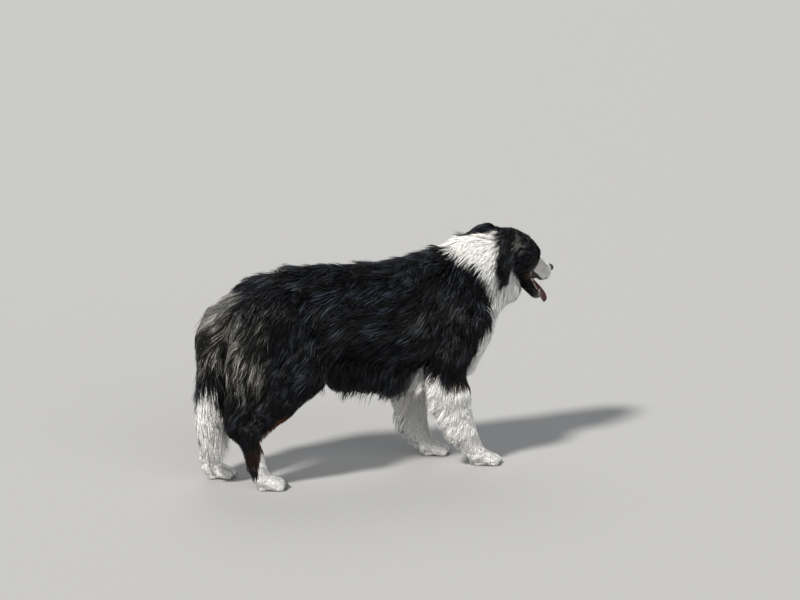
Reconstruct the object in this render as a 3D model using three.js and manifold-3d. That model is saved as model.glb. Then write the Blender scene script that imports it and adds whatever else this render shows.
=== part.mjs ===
// A long-coated Border Collie standing with its head turned to its left and its mouth open.
// Millimetres, +X forward, +Y the dog's left, +Z up, floor at Z = 0.
//
// The body is one smooth surface: tapered limbs of flesh ("bones") grown by the depth of the coat,
// melted together, and cut into named nodes by thin planes. Each node is meshed at its own step.
import * as THREE from "three";
import { mergeVertices } from "three/addons/utils/BufferGeometryUtils.js";
import Module from "manifold-3d";

const wasm = await Module();
wasm.setup();

// ---------------------------------------------------------------- driving dimensions, mm
const GAP = 0.4; // clear space between neighbouring nodes of the trunk and legs
const CLEARANCE = 1; // clear space round the head, jaw, tongue, ears and tail
const COARSENESS = 1.095; // scales the step of every meshed surface
const FAR = 1000; // reach of the cutting boxes where nothing limits them

const HEAD_YAW = THREE.MathUtils.degToRad(22); // turned to its own left
const HEAD_PITCH = THREE.MathUtils.degToRad(-25); // muzzle below the level
const JAW_OPEN = THREE.MathUtils.degToRad(20);
const HEAD_CENTRE = [454, 34, 538]; // middle of the brain case

const PAW_JOINT_Z = 62; // planes that part the legs
const HOCK_Z = 168;
const STIFLE_Z = 265;
const CROUP_Z = 365;
const ELBOW_Z = 236;
const ARM_Z = 330;

const CHEST_X = 165; // planes that part the trunk
const RIB_X = 20;
const LOIN_X = -62;

const EYE_RADIUS = 10.5;
const EYE_PLACE = [53, 29, 4]; // forward, sideways, up from the middle of the brain case
const CANINE_LENGTH = 15;
const CANINE_RADIUS = 3.2;
const UPPER_CANINE = [124, 13, -43]; // in the head's axes
const LOWER_CANINE = [98, 10, 10]; // in the jaw's axes
const NOSE_RADII = [12, 14.5, 12];
const NOSE_PLACE = [147, 0, -7.5];

const COLOUR = {
  black: 0x17171b,
  white: 0xece7dd,
  tan: 0x8a5630,
  skin: 0x0d0d0f,
  eye: 0x3a2010,
  tongue: 0xa8404a,
};

// ---------------------------------------------------------------- head axes
const forward = new THREE.Vector3(
  Math.cos(HEAD_PITCH) * Math.cos(HEAD_YAW),
  Math.cos(HEAD_PITCH) * Math.sin(HEAD_YAW),
  Math.sin(HEAD_PITCH),
);
const left = new THREE.Vector3(-Math.sin(HEAD_YAW), Math.cos(HEAD_YAW), 0);
const above = new THREE.Vector3().crossVectors(forward, left);
const headPlace = new THREE.Matrix4().makeBasis(forward, left, above).setPosition(...HEAD_CENTRE);
const inHead = (f, l, u) => new THREE.Vector3(f, l, u).applyMatrix4(headPlace);

const jawForward = forward.clone().applyAxisAngle(left, JAW_OPEN);
const jawAbove = new THREE.Vector3().crossVectors(jawForward, left);
const jawHinge = inHead(32, 0, -49);
const inJaw = (f, l, u) =>
  jawHinge.clone().addScaledVector(jawForward, f).addScaledVector(left, l).addScaledVector(jawAbove, u);

// ---------------------------------------------------------------- bones
const UP = new THREE.Vector3(0, 0, 1);
const FRONT = new THREE.Vector3(1, 0, 0);
const vec = (p) => (p.isVector3 ? p : new THREE.Vector3(...p));

// A tapered limb from a to b. Each end has a half width, a half depth and the coat over them.
function bone(a, [wa, ha, ca = 0], b, [wb, hb, cb = 0], up, blend) {
  const start = vec(a);
  const run = vec(b).clone().sub(start);
  const length = run.length();
  const axis = run.clone().divideScalar(length);
  const side = new THREE.Vector3().crossVectors(up, axis).normalize();
  const top = new THREE.Vector3().crossVectors(axis, side);
  const reach = Math.max(wa + ca, ha + ca, wb + cb, hb + cb) + length / 2 + blend;
  const middle = start.clone().addScaledVector(run, 0.5);
  return { start, run, length, axis, side, top, blend, middle, reach,
    wa: wa + ca, ha: ha + ca, wb: wb + cb, hb: hb + cb };
}

// A run of bones through [place, radii] stations.
function chain(stations, up, blend) {
  return stations
    .slice(1)
    .map(([b, rb], i) => bone(stations[i][0], stations[i][1], b, rb, up, blend));
}

// An egg-shaped mass: half length along `along`, half width, half height.
function mass(centre, [long, wide, high], coat, along, up, blend) {
  const half = Math.max(long - (wide + high) / 2, 0.5);
  const c = vec(centre);
  const axis = along.clone().normalize();
  const a = c.clone().addScaledVector(axis, -half);
  const b = c.clone().addScaledVector(axis, half);
  return bone(a, [wide, high, coat], b, [wide, high, coat], up, blend);
}

// Signed distance to one bone.
const toPoint = new THREE.Vector3();
function boneDistance(b, p) {
  toPoint.copy(p).sub(b.start);
  const t = THREE.MathUtils.clamp(toPoint.dot(b.axis) / b.length, 0, 1);
  toPoint.addScaledVector(b.run, -t);
  const w = b.wa + (b.wb - b.wa) * t;
  const h = b.ha + (b.hb - b.ha) * t;
  const e = (w + h) / 2;
  const x = toPoint.dot(b.axis) / e;
  const y = toPoint.dot(b.side) / w;
  const z = toPoint.dot(b.top) / h;
  const k0 = Math.hypot(x, y, z);
  const k1 = Math.hypot(x / e, y / w, z / h);
  return k1 > 1e-9 ? (k0 * (k0 - 1)) / k1 : -Math.min(w, h);
}

// Signed distance to a set of bones melted together, up to the distance OUTSIDE.
const OUTSIDE = 60;
function field(bones, p) {
  let d = OUTSIDE;
  for (const b of bones) {
    if (b.middle.distanceTo(p) > b.reach + OUTSIDE) continue;
    const e = boneDistance(b, p);
    const h = Math.max(b.blend - Math.abs(d - e), 0) / b.blend;
    d = Math.min(d, e) - (h * h * b.blend) / 4;
  }
  return d;
}

// ---------------------------------------------------------------- the dog's flesh and coat
const LEGS = {
  right: {
    side: -1,
    elbow: [236, -70, 285],
    wrist: [290, -62, 90],
    forePaw: [318, -58, 34],
    knee: [-138, -74, 282],
    hock: [-280, -72, 150],
    hindPaw: [-250, -70, 34],
    breech: [-284, -68, 300],
    breechLow: [-298, -68, 216],
    breechTip: [-318, -66, 154],
  },
  left: {
    side: 1,
    elbow: [203, 70, 285],
    wrist: [204, 66, 88],
    forePaw: [224, 62, 34],
    knee: [-205, 72, 272],
    hock: [-342, 66, 150],
    hindPaw: [-346, 60, 34],
    breech: [-312, 68, 310],
    breechLow: [-344, 66, 205],
    breechTip: [-358, 66, 154],
  },
};
const between = (a, b, t) => vec(a).clone().lerp(vec(b), t);
const moved = (p, x, y, z) => vec(p).clone().add(new THREE.Vector3(x, y, z));

const trunk = [
  ...chain([
    [[-258, 0, 411], [56, 58, 14]],
    [[-190, 0, 427], [74, 77, 14]],
    [[-75, 0, 433], [68, 76, 20]],
    [[40, 0, 408], [82, 100, 17]],
    [[150, 0, 392], [86, 117, 18]],
    [[235, 0, 392], [70, 106, 18]],
  ], UP, 30),
  bone([110, 0, 484], [30, 20, 14], [215, 0, 486], [34, 30, 16], UP, 40), // withers
  mass([222, 0, 536], [20, 25, 24], 0, FRONT, UP, 18), // tuft over the withers
  mass([-146, 0, 504], [42, 44, 34], 0, FRONT, UP, 26), // tuft over the croup
  mass([292, 0, 365], [34, 44, 50], 16, FRONT, UP, 40), // breastbone
  ...chain([
    [[240, 0, 240], [38, 34]],
    [[110, 0, 246], [48, 54]],
    [[-24, 0, 272], [40, 62]],
  ], UP, 24), // belly fringe
];
const neck = [
  ...chain([
    [[225, 0, 448], [64, 84, 16]],
    [[310, 8, 492], [54, 64, 18]],
    [[400, 26, 520], [46, 50, 18]],
  ], UP, 30),
  ...chain([
    [[405, 32, 450], [56, 44]],
    [[338, 6, 392], [58, 44]],
    [[312, 0, 324], [56, 48]],
    [[300, 0, 264], [42, 42]],
  ], UP, 26), // bib
  mass([422, 26, 434], [38, 52, 36], 0, FRONT, UP, 20), // throat ruff
];

function paw(joint) {
  const [x, y] = joint;
  const palm = [
    bone([x, y, 28], [21, 15, 2], [x + 22, y, 22], [24, 14, 2], UP, 8),
    mass([x + 8, y, 9], [20, 18, 13], 0, FRONT, UP, 6),
  ];
  const toes = [-1.5, -0.5, 0.5, 1.5].map((place) => {
    const tip = Math.abs(place) < 1 ? 52 : 40;
    const knuckle = [x + 18, y + 11 * place, 20];
    return bone(knuckle, [9.5, 12, 2], [x + tip, y + 14 * place, 10], [9.5, 11, 2], UP, 5);
  });
  return [...palm, ...toes];
}

function foreLeg({ side, elbow, wrist, forePaw }) {
  const middle = between(elbow, wrist, 0.45);
  return [
    bone([205, side * 42, 476], [28, 50, 16], [292, side * 60, 368], [34, 42, 18], FRONT, 35),
    bone([288, side * 64, 362], [33, 42, 16], elbow, [27, 34, 14], FRONT, 30),
    ...chain([
      [elbow, [25, 31, 10]],
      [middle, [19, 22, 7]],
      [wrist, [15, 18, 4]],
    ], FRONT, 20),
    bone(wrist, [15, 17, 4], forePaw, [16, 18, 3], FRONT, 12),
    ...paw(forePaw),
    ...chain([
      [moved(elbow, -34, 0, -35), [15, 34]],
      [moved(middle, -42, 0, -14), [14, 36]],
      [moved(wrist, -30, 0, -2), [11, 23]],
      [moved(forePaw, -30, 0, 12), [8, 12]],
    ], FRONT, 14), // feathering
  ];
}

function hindLeg({ side, knee, hock, hindPaw, breech, breechLow, breechTip }) {
  const heel = between(hindPaw, hock, 0.2);
  return [
    bone([-216, side * 56, 429], [40, 72, 14], knee, [31, 42, 14], FRONT, 30),
    mass([-256, side * 48, 392], [44, 34, 52], 12, FRONT, UP, 30),
    bone([-246, side * 54, 370], [34, 44, 12], between(knee, hock, 0.4), [24, 34, 8], FRONT, 24),
    bone([-96, side * 56, 335], [26, 30, 12], [-30, side * 40, 385], [40, 44, 14], FRONT, 30), // flank fold
    ...chain([
      [knee, [30, 42, 14]],
      [between(knee, hock, 0.5), [22, 32, 11]],
      [moved(hock, 16, 0, 4), [14, 21, 12]],
    ], FRONT, 20),
    bone(moved(hock, -16, 0, 10), [11, 12, 3], moved(hock, -8, 0, -10), [11, 14, 3], FRONT, 14),
    bone(hock, [13, 17, 4], hindPaw, [15, 16, 3], FRONT, 14),
    ...paw(hindPaw),
    ...chain([
      [[-282, side * 58, 385], [38, 40]],
      [breech, [36, 46]],
      [breechLow, [22, 31]],
      [breechTip, [12, 16]],
    ], FRONT, 24), // breeches
    bone(moved(hock, -6, 0, -4), [12, 14], moved(heel, -16, 0, 0), [9, 12], FRONT, 14), // its fringe
  ];
}

const body = [
  ...trunk,
  ...neck,
  ...Object.values(LEGS).flatMap(foreLeg),
  ...Object.values(LEGS).flatMap(hindLeg),
];

const TAIL_LINE = [
  [-264, 0, 450],
  [-330, 0, 416],
  [-346, 0, 372],
  [-349, 0, 250],
  [-352, 0, 162],
  [-342, 0, 84],
];
const TAIL_RADII = [[30, 28], [28, 34], [30, 36], [33, 38], [31, 41], [24, 37]];
const tail = chain(TAIL_LINE.map((place, i) => [place, TAIL_RADII[i]]), FRONT, 20);

// A mass placed in the head's axes, its length turned sideways by `turn`.
function headMass(place, radii, coat, blend, turn = 0) {
  return mass(inHead(...place), radii, coat, forward.clone().addScaledVector(left, turn), above, blend);
}
const sides = [-1, 1];
const skull = [
  headMass([-6, 0, -3], [57, 49, 42], 5, 12), // brain case
  headMass([-34, 0, -20], [40, 46, 40], 12, 20), // nape
  ...sides.map((s) => headMass([16, s * 34, -20], [34, 22, 28], 5, 18, -0.25 * s)), // cheeks
  ...sides.map((s) => headMass([35, s * 22, 12], [20, 15, 14], 2, 14)), // brows
  ...sides.map((s) => headMass([40, s * 26, -14], [20, 12, 10], 2, 12)), // cheekbones
  ...chain([
    [inHead(44, 0, -15), [34, 26, 2]],
    [inHead(82, 0, -20), [27, 21, 3]],
    [inHead(127.5, 0, -17), [21, 16, 2]],
  ], above, 16), // muzzle
  ...chain([
    [inHead(58, 0, -33), [30, 15, 2]],
    [inHead(106, 0, -38), [24, 15, 2]],
    [inHead(128.5, 0, -32), [20, 13, 2]],
  ], above, 8), // lips
];
const jaw = chain([
  [inJaw(-10, 0, -1), [31, 15, 5]],
  [inJaw(45, 0, -1), [21, 10, 6]],
  [inJaw(102, 0, -1), [13, 8, 4]],
], jawAbove, 8);

// ---------------------------------------------------------------- solids
// A closed three.js geometry as a solid.
function solidOf(geometry) {
  const bare = geometry.clone();
  bare.deleteAttribute("normal");
  bare.deleteAttribute("uv");
  const { attributes, index } = mergeVertices(bare, 1e-3);
  return new wasm.Manifold(
    new wasm.Mesh({
      numProp: 3,
      vertProperties: attributes.position.array,
      triVerts: new Uint32Array(index.array),
    }),
  );
}

// A solid back as a three.js geometry.
function geometryOf(solid) {
  const { vertProperties, numProp, triVerts } = solid.getMesh();
  const count = vertProperties.length / numProp;
  const places = new Float32Array(count * 3);
  for (let i = 0; i < count; i++) {
    places.set(vertProperties.subarray(i * numProp, i * numProp + 3), i * 3);
  }
  const geometry = new THREE.BufferGeometry();
  geometry.setAttribute("position", new THREE.BufferAttribute(places, 3));
  geometry.setIndex(new THREE.BufferAttribute(new Uint32Array(triVerts), 1));
  geometry.computeVertexNormals();
  return geometry;
}

// The solid with its surface pushed out.
function grown(solid, by = GAP * 1.5) {
  const geometry = geometryOf(solid);
  const { position, normal } = geometry.attributes;
  const p = new THREE.Vector3();
  const n = new THREE.Vector3();
  for (let i = 0; i < position.count; i++) {
    p.fromBufferAttribute(position, i);
    n.fromBufferAttribute(normal, i);
    p.addScaledVector(n, by);
    position.setXYZ(i, p.x, p.y, p.z);
  }
  return solidOf(geometry);
}

// A box between two corners, pushed out by `by`, placed by a matrix.
function boxSolid(low, high, by = 0, placed = new THREE.Matrix4()) {
  const size = high.map((h, i) => h - low[i] + 2 * by);
  const centre = high.map((h, i) => (h + low[i]) / 2);
  const box = new THREE.BoxGeometry(...size);
  box.translate(...centre);
  return solidOf(box.applyMatrix4(placed));
}

// A grid cell's corners, its edges as pairs of corners, and its faces as sets of four corners.
const CORNERS = [0, 1, 2, 3, 4, 5, 6, 7].map((c) => [c & 1, (c >> 1) & 1, (c >> 2) & 1]);
const EDGES = CORNERS.flatMap((a, i) =>
  CORNERS.map((b, j) => [i, j, a.reduce((sum, v, k) => sum + Math.abs(v - b[k]), 0)])
    .filter(([from, to, apart]) => from < to && apart === 1)
    .map(([from, to]) => [from, to]),
);
const FACES = [0, 1, 2].flatMap((axis) =>
  [0, 1].map((side) => [0, 1, 2, 3, 4, 5, 6, 7].filter((c) => CORNERS[c][axis] === side)),
);
const cornerNumber = (c) => c[0] + 2 * c[1] + 4 * c[2];
const edgeNumber = (a, b) => EDGES.findIndex(([from, to]) => from === a && to === b);

// The crossed edges of a cell in groups, one group for each sheet of surface that runs through it.
// Where a face has four crossings, its inside corners are kept apart.
function sheets(inside) {
  const sheet = new Map();
  EDGES.forEach(([a, b], e) => {
    if (inside[a] !== inside[b]) sheet.set(e, e);
  });
  const join = (e, f) => {
    const [kept, lost] = [sheet.get(e), sheet.get(f)];
    for (const [edge, group] of sheet) if (group === lost) sheet.set(edge, kept);
  };
  for (const face of FACES) {
    const onFace = [...sheet.keys()].filter((e) => EDGES[e].every((c) => face.includes(c)));
    if (onFace.length === 2) join(...onFace);
    if (onFace.length !== 4) continue;
    for (const corner of face.filter((c) => inside[c])) {
      join(...onFace.filter((e) => EDGES[e].includes(corner)));
    }
  }
  const groups = [...new Set(sheet.values())];
  return groups.map((group) => [...sheet.keys()].filter((e) => sheet.get(e) === group));
}

const MOST_SLIDE = 0.45; // of a step
// Meshes the bones' surface inside a box: one vertex for each sheet of surface in a cell of a grid,
// pulled onto the surface, and one pair of faces across each crossed grid edge.
function netSolid(bones, low, high, steps, placed = new THREE.Matrix4()) {
  const step = steps.map((v) => v * COARSENESS);
  const cells = high.map((h, i) => Math.ceil((h - low[i]) / step[i]) + 3);
  const size = cells.map((c) => c + 1);
  const origin = low.map((v, i) => v - step[i]);
  const at = (i, j, k) => (k * size[1] + j) * size[0] + i;
  const world = (x, y, z) =>
    new THREE.Vector3(...[x, y, z].map((v, i) => origin[i] + v * step[i])).applyMatrix4(placed);
  const value = new Float32Array(size[0] * size[1] * size[2]).fill(OUTSIDE);
  const vertexOf = new Map();
  const places = [];
  const triangles = [];
  const eachCell = (visit) => {
    for (let k = 0; k < cells[2]; k++) {
      for (let j = 0; j < cells[1]; j++) {
        for (let i = 0; i < cells[0]; i++) visit(i, j, k);
      }
    }
  };
  eachCell((i, j, k) => {
    if (i * j * k > 0) value[at(i, j, k)] = field(bones, world(i, j, k));
  });
  eachCell((i, j, k) => {
    const v = CORNERS.map(([x, y, z]) => value[at(i + x, j + y, k + z)]);
    const inside = v.map((d) => d < 0);
    if (inside.every((x) => x === inside[0])) return;
    for (const sheet of sheets(inside)) {
      const sum = new THREE.Vector3();
      for (const e of sheet) {
        const [a, b] = EDGES[e];
        const from = new THREE.Vector3(...CORNERS[a]);
        sum.add(from.lerp(new THREE.Vector3(...CORNERS[b]), v[a] / (v[a] - v[b])));
        vertexOf.set(at(i, j, k) * EDGES.length + e, places.length);
      }
      sum.divideScalar(sheet.length);
      const start = world(i + sum.x, j + sum.y, k + sum.z);
      places.push(ontoSurface(bones, start, Math.min(...step) * MOST_SLIDE));
    }
  });
  for (const axis of [0, 1, 2]) {
    const along = [0, 1, 2].map((n) => Number(n === axis));
    const across = [0, 1, 2].map((n) => Number(n === (axis + 1) % 3));
    const upwards = [0, 1, 2].map((n) => Number(n === (axis + 2) % 3));
    eachCell((i, j, k) => {
      const here = value[at(i, j, k)] < 0;
      if (here === value[at(i + along[0], j + along[1], k + along[2])] < 0) return;
      const corner = (m, n) => {
        const from = across.map((v, d) => m * v + n * upwards[d]);
        const edge = edgeNumber(cornerNumber(from), cornerNumber(from.map((v, d) => v + along[d])));
        const [x, y, z] = [i - from[0], j - from[1], k - from[2]];
        return vertexOf.get(at(x, y, z) * EDGES.length + edge);
      };
      const ring = [corner(1, 1), corner(0, 1), corner(0, 0), corner(1, 0)];
      if (!here) ring.reverse();
      const [a, b, c, d] = ring;
      const shortAC = places[a].distanceTo(places[c]) < places[b].distanceTo(places[d]);
      triangles.push(...(shortAC ? [a, b, c, a, c, d] : [a, b, d, b, c, d]));
    });
  }
  const geometry = new THREE.BufferGeometry().setFromPoints(places);
  geometry.setIndex(triangles);
  return solidOf(geometry);
}

// Slides a point along the field's slope onto the surface, by no more than `most`.
const PROBE = 0.5;
const SLIDES = 3;
const LEAST_SLOPE = 0.5;
function ontoSurface(bones, start, most) {
  const p = start.clone();
  for (let turn = 0; turn < SLIDES; turn++) {
    const d = field(bones, p);
    const slope = [[PROBE, 0, 0], [0, PROBE, 0], [0, 0, PROBE]].map((offset) => {
      const near = p.clone().add(new THREE.Vector3(...offset));
      return (field(bones, near) - d) / PROBE;
    });
    const g = new THREE.Vector3(...slope);
    p.addScaledVector(g, -d / Math.max(g.lengthSq(), LEAST_SLOPE ** 2));
  }
  const slid = p.sub(start);
  return start.clone().add(slid.clampLength(0, most));
}

// The biggest connected piece of a solid.
function largest(solid) {
  return solid.decompose().sort((a, b) => b.volume() - a.volume())[0];
}

// ---------------------------------------------------------------- head and tail
const solids = {};
const wholeTail = netSolid(tail, [-420, -50, 30], [-225, 50, 500], [24, 20, 36]);
const TAIL_CUTS = [["tail_base", 345, FAR], ["tail_middle", 190, 345], ["tail_tip", -FAR, 190]];

const SKULL_BACK = -46; // where the head is parted from the neck
const wholeSkull = netSolid(skull, [-120, -75, -75], [175, 75, 75], [18, 16, 16], headPlace)
  .intersect(boxSolid([SKULL_BACK, -FAR, -FAR], [FAR, FAR, FAR], 0, headPlace));

// A ball stretched to three half sizes and placed in the head's axes.
function egg(long, wide, high, around = 16, over = 10) {
  const g = new THREE.SphereGeometry(1, around, over);
  g.scale(long, wide, high);
  return g;
}
const eyePlace = (s) => [EYE_PLACE[0], s * EYE_PLACE[1], EYE_PLACE[2]];
const eyeGeometry = (s) =>
  egg(EYE_RADIUS, EYE_RADIUS, EYE_RADIUS, 9, 6).translate(...eyePlace(s)).applyMatrix4(headPlace);

// Nose leather: a rounded block across the tip of the muzzle.
const noseGeometry = egg(...NOSE_RADII, 10, 6).translate(...NOSE_PLACE).applyMatrix4(headPlace);

// A closed tube through stations, each a centre with two half-axis vectors. Both ends are rounded
// to a point.
function loft(stations, around) {
  const points = [];
  for (const { at, wide, thick } of stations) {
    for (let n = 0; n < around; n++) {
      const angle = (2 * Math.PI * n) / around;
      const point = at.clone().addScaledVector(wide, Math.cos(angle));
      points.push(point.addScaledVector(thick, Math.sin(angle)));
    }
  }
  const tip = (end, inner) => end.at.clone().lerp(inner.at, -0.3);
  const rings = stations.length;
  const first = points.push(tip(stations[0], stations[1])) - 1;
  const last = points.push(tip(stations[rings - 1], stations[rings - 2])) - 1;
  const triangles = [];
  for (let n = 0; n < around; n++) {
    const next = (n + 1) % around;
    triangles.push(first, next, n);
    triangles.push(last, (rings - 1) * around + n, (rings - 1) * around + next);
    for (let r = 0; r + 1 < rings; r++) {
      const [a, b] = [r * around + n, r * around + next];
      triangles.push(a, b, b + around, a, b + around, a + around);
    }
  }
  const geometry = new THREE.BufferGeometry().setFromPoints(points);
  geometry.setIndex(triangles);
  const solid = solidOf(geometry);
  return solid.volume() > 0 ? solid : solidOf(geometry.setIndex(triangles.reverse()));
}

// Tongue: a flat strip that lies in the jaw and falls over its tip.
function tongueSolid() {
  const line = new THREE.CatmullRomCurve3([
    inJaw(38, 0, 13), inJaw(72, 0, 15), inJaw(104, 0, 16), inJaw(127, 0, 13), inJaw(145, 0, 5),
  ]);
  const widths = [9, 13, 14.5, 15, 14.5, 12.5, 8];
  const stations = widths.map((half, i) => {
    const t = i / (widths.length - 1);
    const thick = new THREE.Vector3().crossVectors(line.getTangentAt(t), left);
    return {
      at: line.getPointAt(t),
      wide: left.clone().multiplyScalar(half),
      thick: thick.multiplyScalar(i === 0 || i === widths.length - 1 ? 2.2 : 4),
    };
  });
  return loft(stations, 8);
}

// Ear: a thick leaf that leaves the skull, lies back and hangs, with the long hair of its edge.
// The left ear (1) is laid further back than the right one (-1).
const EAR_LINES = {
  1: [[-44, 36, 15], [-88, 60, 20], [-112, 64, -34], [-70, 58, -94]],
  "-1": [[-44, 34, 10], [-80, 54, 22], [-96, 64, -32], [-50, 56, -94]],
};
function earSolid(s) {
  const line = new THREE.CubicBezierCurve3(...EAR_LINES[s].map(([f, l, u]) => inHead(f, s * l, u)));
  const widths = [24, 30, 32, 30, 25, 18, 10];
  const thicknesses = [10, 11, 11, 10, 9, 8, 5];
  const outwards = inHead(-10, s * 60, 14).sub(inHead(0, 0, 0)).normalize();
  const stations = widths.map((half, i) => {
    const t = i / (widths.length - 1);
    const along = line.getTangentAt(t);
    const wide = new THREE.Vector3().crossVectors(along, outwards).normalize();
    const thick = new THREE.Vector3().crossVectors(wide, along);
    return {
      at: line.getPointAt(t),
      wide: wide.multiplyScalar(half),
      thick: thick.multiplyScalar(thicknesses[i]),
    };
  });
  return loft(stations, 9);
}

// A canine tooth that grows from a place along a direction.
function canine(place, direction) {
  const g = new THREE.ConeGeometry(CANINE_RADIUS, CANINE_LENGTH, 8);
  const turn = new THREE.Quaternion().setFromUnitVectors(new THREE.Vector3(0, 1, 0), direction);
  g.applyQuaternion(turn).translate(place.x, place.y, place.z);
  return solidOf(g);
}

solids.eye_left = solidOf(eyeGeometry(1));
solids.eye_right = solidOf(eyeGeometry(-1));
solids.nose = solidOf(noseGeometry);
let head = wholeSkull;
for (const part of ["eye_left", "eye_right", "nose"]) head = head.subtract(grown(solids[part]));
for (const s of sides) {
  const [f, l, u] = UPPER_CANINE;
  head = head.add(canine(inHead(f, s * l, u), above.clone().negate()));
}
solids.head = largest(head);

const jawPlace = new THREE.Matrix4().makeBasis(jawForward, left, jawAbove).setPosition(jawHinge);
const wholeJaw = netSolid(jaw, [-60, -45, -30], [125, 45, 30], [20, 13, 12], jawPlace);
const wholeTongue = tongueSolid();
const wholeEars = { ear_left: earSolid(1), ear_right: earSolid(-1) };
const skullSpace = grown(wholeSkull, CLEARANCE);
const jawSpace = grown(wholeJaw, CLEARANCE);

const lowerCanines = sides.map((s) => {
  const [f, l, u] = LOWER_CANINE;
  return canine(inJaw(f, s * l, u), jawAbove);
});
solids.lower_jaw = largest(wasm.Manifold.union([wholeJaw, ...lowerCanines]).subtract(skullSpace));
const besideTongue = wasm.Manifold.union([
  jawSpace,
  skullSpace,
  ...lowerCanines.map((tooth) => grown(tooth, CLEARANCE)),
]);
solids.tongue = largest(wholeTongue.subtract(besideTongue));
for (const [name, ear] of Object.entries(wholeEars)) {
  solids[name] = largest(ear.subtract(skullSpace).subtract(jawSpace));
}

// ---------------------------------------------------------------- body nodes
// Each cell is a box with the mesh steps along its axes. A later cell gives way to the earlier ones.
// A cell may be turned by a matrix, or meshed from bones of its own. Where it is, the later cells give
// way to its solid and not to its box. A fringe is hair of the trunk that hangs below the cell.
const neckPlace = new THREE.Matrix4().makeRotationY(THREE.MathUtils.degToRad(-38)).setPosition(262, 0, 470);
const CELLS = [
  ["forepaw_right", [250, -FAR, 0], [FAR, 0, PAW_JOINT_Z], [13, 13, 14]],
  ["forepaw_left", [150, 0, 0], [FAR, FAR, PAW_JOINT_Z], [13, 13, 14]],
  ["hindpaw_right", [-FAR, -FAR, 0], [0, 0, PAW_JOINT_Z], [13, 13, 14]],
  ["hindpaw_left", [-FAR, 0, 0], [0, FAR, PAW_JOINT_Z], [13, 13, 14]],
  ["forearm_right", [0, -FAR, 0], [FAR, 0, ELBOW_Z - GAP], [17, 16, 30], { bones: foreLeg(LEGS.right) }],
  ["forearm_left", [0, 0, 0], [FAR, FAR, ELBOW_Z - GAP], [17, 16, 30], { bones: foreLeg(LEGS.left) }],
  ["pastern_right", [-FAR, -FAR, 0], [0, 0, HOCK_Z], [16, 14, 26]],
  ["pastern_left", [-FAR, 0, 0], [0, FAR, HOCK_Z], [16, 14, 26]],
  ["second_thigh_right", [-FAR, -FAR, 0], [LOIN_X, 0, STIFLE_Z], [28, 24, 34]],
  ["second_thigh_left", [-FAR, 0, 0], [LOIN_X, FAR, STIFLE_Z], [28, 24, 34]],
  ["thigh_right", [-FAR, -FAR, 0], [LOIN_X, 0, CROUP_Z], [34, 28, 40]],
  ["thigh_left", [-FAR, 0, 0], [LOIN_X, FAR, CROUP_Z], [34, 28, 40]],
  ["upper_arm_right", [150, -FAR, ELBOW_Z], [FAR, -40, ARM_Z], [30, 24, 34]],
  ["upper_arm_left", [150, 40, ELBOW_Z], [FAR, FAR, ARM_Z], [30, 24, 34]],
  ["rump", [-FAR, -FAR, 0], [LOIN_X, FAR, FAR], [40, 38, 38]],
  ["loin", [LOIN_X, -FAR, 0], [RIB_X, FAR, FAR], [48, 38, 38]],
  ["ribcage", [RIB_X, -FAR, ELBOW_Z], [CHEST_X, FAR, FAR], [50, 38, 38], { fringe: true }],
  ["neck", [0, -FAR, -FAR], [FAR, FAR, FAR], [42, 34, 34], { placed: neckPlace }],
  ["chest", [CHEST_X, -FAR, ELBOW_Z], [FAR, FAR, FAR], [38, 36, 38], { fringe: true }],
];
const BODY_LOW = [-440, -150, -14];
const BODY_HIGH = [500, 150, 640];
const NECK_REACH = [[-40, -140, -260], [270, 160, 160]];
const carvers = [
  skullSpace,
  jawSpace,
  ...[wholeTongue, wholeEars.ear_left, wholeEars.ear_right, wholeTail].map((s) => grown(s, CLEARANCE)),
];

function overlaps(a, b) {
  const p = a.boundingBox();
  const q = b.boundingBox();
  return [0, 1, 2].every((i) => p.min[i] < q.max[i] && q.min[i] < p.max[i]);
}
const taken = [];
function carved(solid) {
  const met = [...taken, ...carvers].filter((other) => overlaps(solid, other));
  return met.reduce((rest, other) => rest.subtract(other), solid);
}

function cellSolid(bones, low, high, step) {
  const meshLow = low.map((v, i) => Math.max(v - step[i], BODY_LOW[i]));
  const meshHigh = high.map((v, i) => Math.min(v + step[i], BODY_HIGH[i]));
  return netSolid(bones, meshLow, meshHigh, step).intersect(boxSolid(low, high));
}

for (const [name, low, high, step, { placed, bones, fringe } = {}] of CELLS) {
  let solid = placed
    ? netSolid(body, ...NECK_REACH, step, placed).intersect(boxSolid(low, high, 0, placed))
    : cellSolid(bones ?? body, low, high, step);
  if (fringe) {
    const below = [[low[0], low[1], 0], [high[0], high[1], low[2] + GAP]];
    solid = solid.add(cellSolid([...trunk, ...neck], ...below, step));
  }
  solids[name] = largest(carved(solid));
  taken.push(bones ? grown(solids[name], CLEARANCE) : boxSolid(low, high, GAP, placed));
}
for (const [name, low, high] of TAIL_CUTS) {
  solids[name] = largest(
    wholeTail.intersect(boxSolid([-FAR, -FAR, low + GAP / 2], [FAR, FAR, high - GAP / 2])),
  );
}

// ---------------------------------------------------------------- the nodes
const PAINT = {
  head: "black",
  ear_left: "black",
  ear_right: "black",
  lower_jaw: "black",
  nose: "skin",
  eye_left: "eye",
  eye_right: "eye",
  tongue: "tongue",
  neck: "white",
  chest: "black",
  ribcage: "black",
  loin: "black",
  rump: "black",
  tail_base: "black",
  tail_middle: "black",
  tail_tip: "white",
  upper_arm_left: "black",
  upper_arm_right: "black",
  forearm_left: "white",
  forearm_right: "white",
  forepaw_left: "white",
  forepaw_right: "white",
  thigh_left: "black",
  thigh_right: "black",
  second_thigh_left: "black",
  second_thigh_right: "black",
  pastern_left: "white",
  pastern_right: "tan",
  hindpaw_left: "white",
  hindpaw_right: "white",
};

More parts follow.
